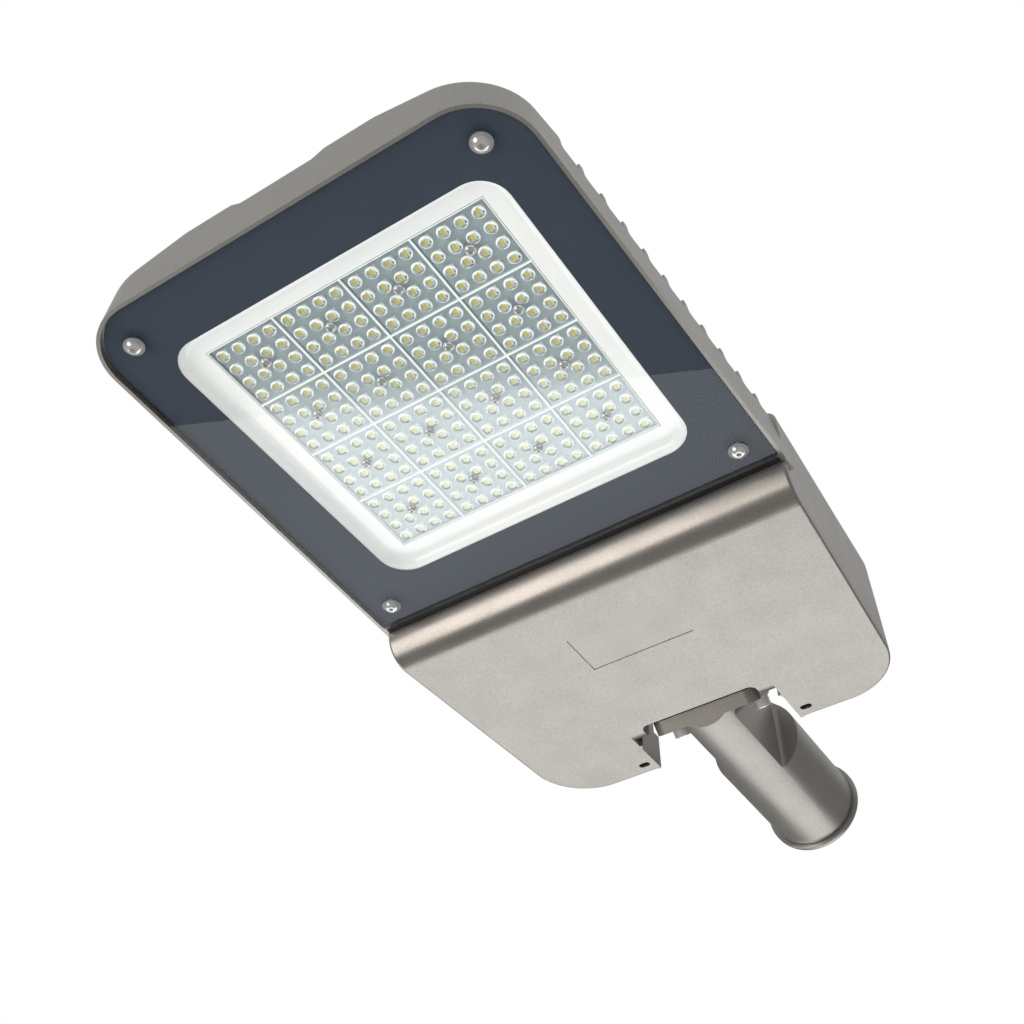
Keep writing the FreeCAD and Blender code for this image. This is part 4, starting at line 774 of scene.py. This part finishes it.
def add_world():
    """White to the camera and through clear pieces, a soft room to all else.

    In reflections the room is dark near the horizon and pale high up.
    """
    stage = bpy.context.scene.lamp_stage
    world = bpy.data.worlds.new("studio")
    bpy.context.scene.world = world
    world.use_nodes = True
    tree = world.node_tree
    tree.nodes.clear()
    way = add_node(tree, "ShaderNodeTexCoord")
    height = add_node(tree, "ShaderNodeSeparateXYZ", {0: way.outputs["Generated"]})
    mirrored = add_node(tree, "ShaderNodeMapRange",
                        {"Value": height.outputs["Z"], "From Min": MIRRORED_LOW,
                         "From Max": MIRRORED_HIGH, "To Min": stage.gloss_low,
                         "To Max": stage.gloss_high})
    path = add_node(tree, "ShaderNodeLightPath")
    seen = add_node(tree, "ShaderNodeMath", {0: path.outputs["Is Camera Ray"],
                                             1: path.outputs["Is Transmission Ray"]},
                    operation="MAXIMUM")
    white, fill, gloss = (add_node(tree, "ShaderNodeBackground",
                                   {"Color": linear("FFFFFF"), "Strength": strength})
                          for strength in (1.0, stage.fill, mirrored))
    room = add_node(tree, "ShaderNodeMixShader",
                    {0: path.outputs["Is Glossy Ray"], 1: fill, 2: gloss})
    last = add_node(tree, "ShaderNodeMixShader", {0: seen, 1: room, 2: white})
    add_node(tree, "ShaderNodeOutputWorld", {"Surface": last})


def add_floor():
    """Pale floor under the hanging head; in reflections it is a plain grey."""
    level = bpy.context.scene.lamp_stage.floor
    corners = ((-1, -1), (1, -1), (1, 1), (-1, 1))
    mesh = bpy.data.meshes.new("floor")
    mesh.from_pydata([(x * FLOOR_REACH, y * FLOOR_REACH, level) for x, y in corners], [],
                     [(0, 1, 2, 3)])
    floor = bpy.data.objects.new("floor", mesh)
    bpy.context.scene.collection.objects.link(floor)
    material, tree = new_tree("pale_floor")
    path = add_node(tree, "ShaderNodeLightPath")
    plain = add_node(tree, "ShaderNodeBsdfDiffuse", {"Color": linear("E4E3E1")})
    dull = add_node(tree, "ShaderNodeEmission", {"Color": linear("6E6D6B")})
    shader = add_node(tree, "ShaderNodeMixShader",
                      {0: path.outputs["Is Glossy Ray"], 1: plain, 2: dull})
    add_node(tree, "ShaderNodeOutputMaterial", {"Surface": shader})
    mesh.materials.append(material)


def softbox(name, brightness, place, facing, width, height, colour="FFFFFF"):
    """Rectangular lamp that faces a direction; its power is brightness times area times pi."""
    data = bpy.data.lights.new(name, "AREA")
    data.shape = "RECTANGLE"
    data.size = width
    data.size_y = height
    data.energy = brightness * width * height * np.pi
    data.color = linear(colour)[:3]
    lamp = bpy.data.objects.new(name, data)
    bpy.context.scene.collection.objects.link(lamp)
    lamp.location = place
    lamp.rotation_euler = Vector(facing).to_track_quat("-Z", "Y").to_euler()
    lamp.visible_camera = False
    lamp.visible_transmission = False
    return lamp


def add_lights():
    """A long softbox over the floor behind the head, one before its tip and one above.

    The first one's near edge runs through two points; it lies from there away from the head.
    """
    stage = bpy.context.scene.lamp_stage
    start, end = np.array(REAR_EDGE)
    along = (end - start) / np.linalg.norm(end - start)
    away = np.array([-along[1], along[0]])
    away *= -np.sign(away[0])
    centre = (start + end) / 2 + away * stage.rear_width / 2
    rear = softbox("rear_softbox", stage.rear_light, (*centre, stage.floor + REAR_LIFT),
                   (0, 0, 1), stage.rear_width, REAR_LENGTH)
    rear.rotation_euler = (np.pi, 0.0, float(np.arctan2(away[1], away[0])))
    softbox("front_softbox", stage.front_light, *FRONT_SOFTBOX)
    softbox("top_softbox", stage.top_light, *TOP_SOFTBOX)


OPERATORS = (LAMP_OT_castings, LAMP_OT_glass, LAMP_OT_engine, LAMP_OT_lenses, LAMP_OT_diodes,
             LAMP_OT_fasteners, LAMP_OT_seals, LAMP_OT_stage)
SETTINGS = {"lamp_lens": LampLensSettings, "lamp_glass": LampGlassSettings,
            "lamp_finish": LampFinishSettings, "lamp_stage": LampStageSettings}


class LAMP_PT_panel(Panel):
    """Lists the lamp head's settings and operators"""
    bl_idname = "LAMP_PT_panel"
    bl_label = "LED Street Light Head"
    bl_space_type = "VIEW_3D"
    bl_region_type = "UI"
    bl_category = "Street Light"

    def draw(self, context):
        for name in SETTINGS:
            settings = getattr(context.scene, name)
            box = self.layout.box()
            for key in settings.__annotations__:
                box.prop(settings, key)
        for operator in OPERATORS:
            self.layout.operator(operator.bl_idname)


CLASSES = (*SETTINGS.values(), *OPERATORS, LAMP_PT_panel)


def register():
    """Registers the classes and hangs the settings on the scene."""
    for item in CLASSES:
        bpy.utils.register_class(item)
    for name, settings in SETTINGS.items():
        setattr(bpy.types.Scene, name, PointerProperty(type=settings))


def unregister():
    """Takes the settings and the classes away again."""
    for name in SETTINGS:
        delattr(bpy.types.Scene, name)
    for item in reversed(CLASSES):
        bpy.utils.unregister_class(item)


def main():
    """Registers the add-on and makes every piece."""
    register()
    for operator in OPERATORS:
        group, name = operator.bl_idname.split(".")
        getattr(getattr(bpy.ops, group), name)()


if __name__ == "__main__":
    main()
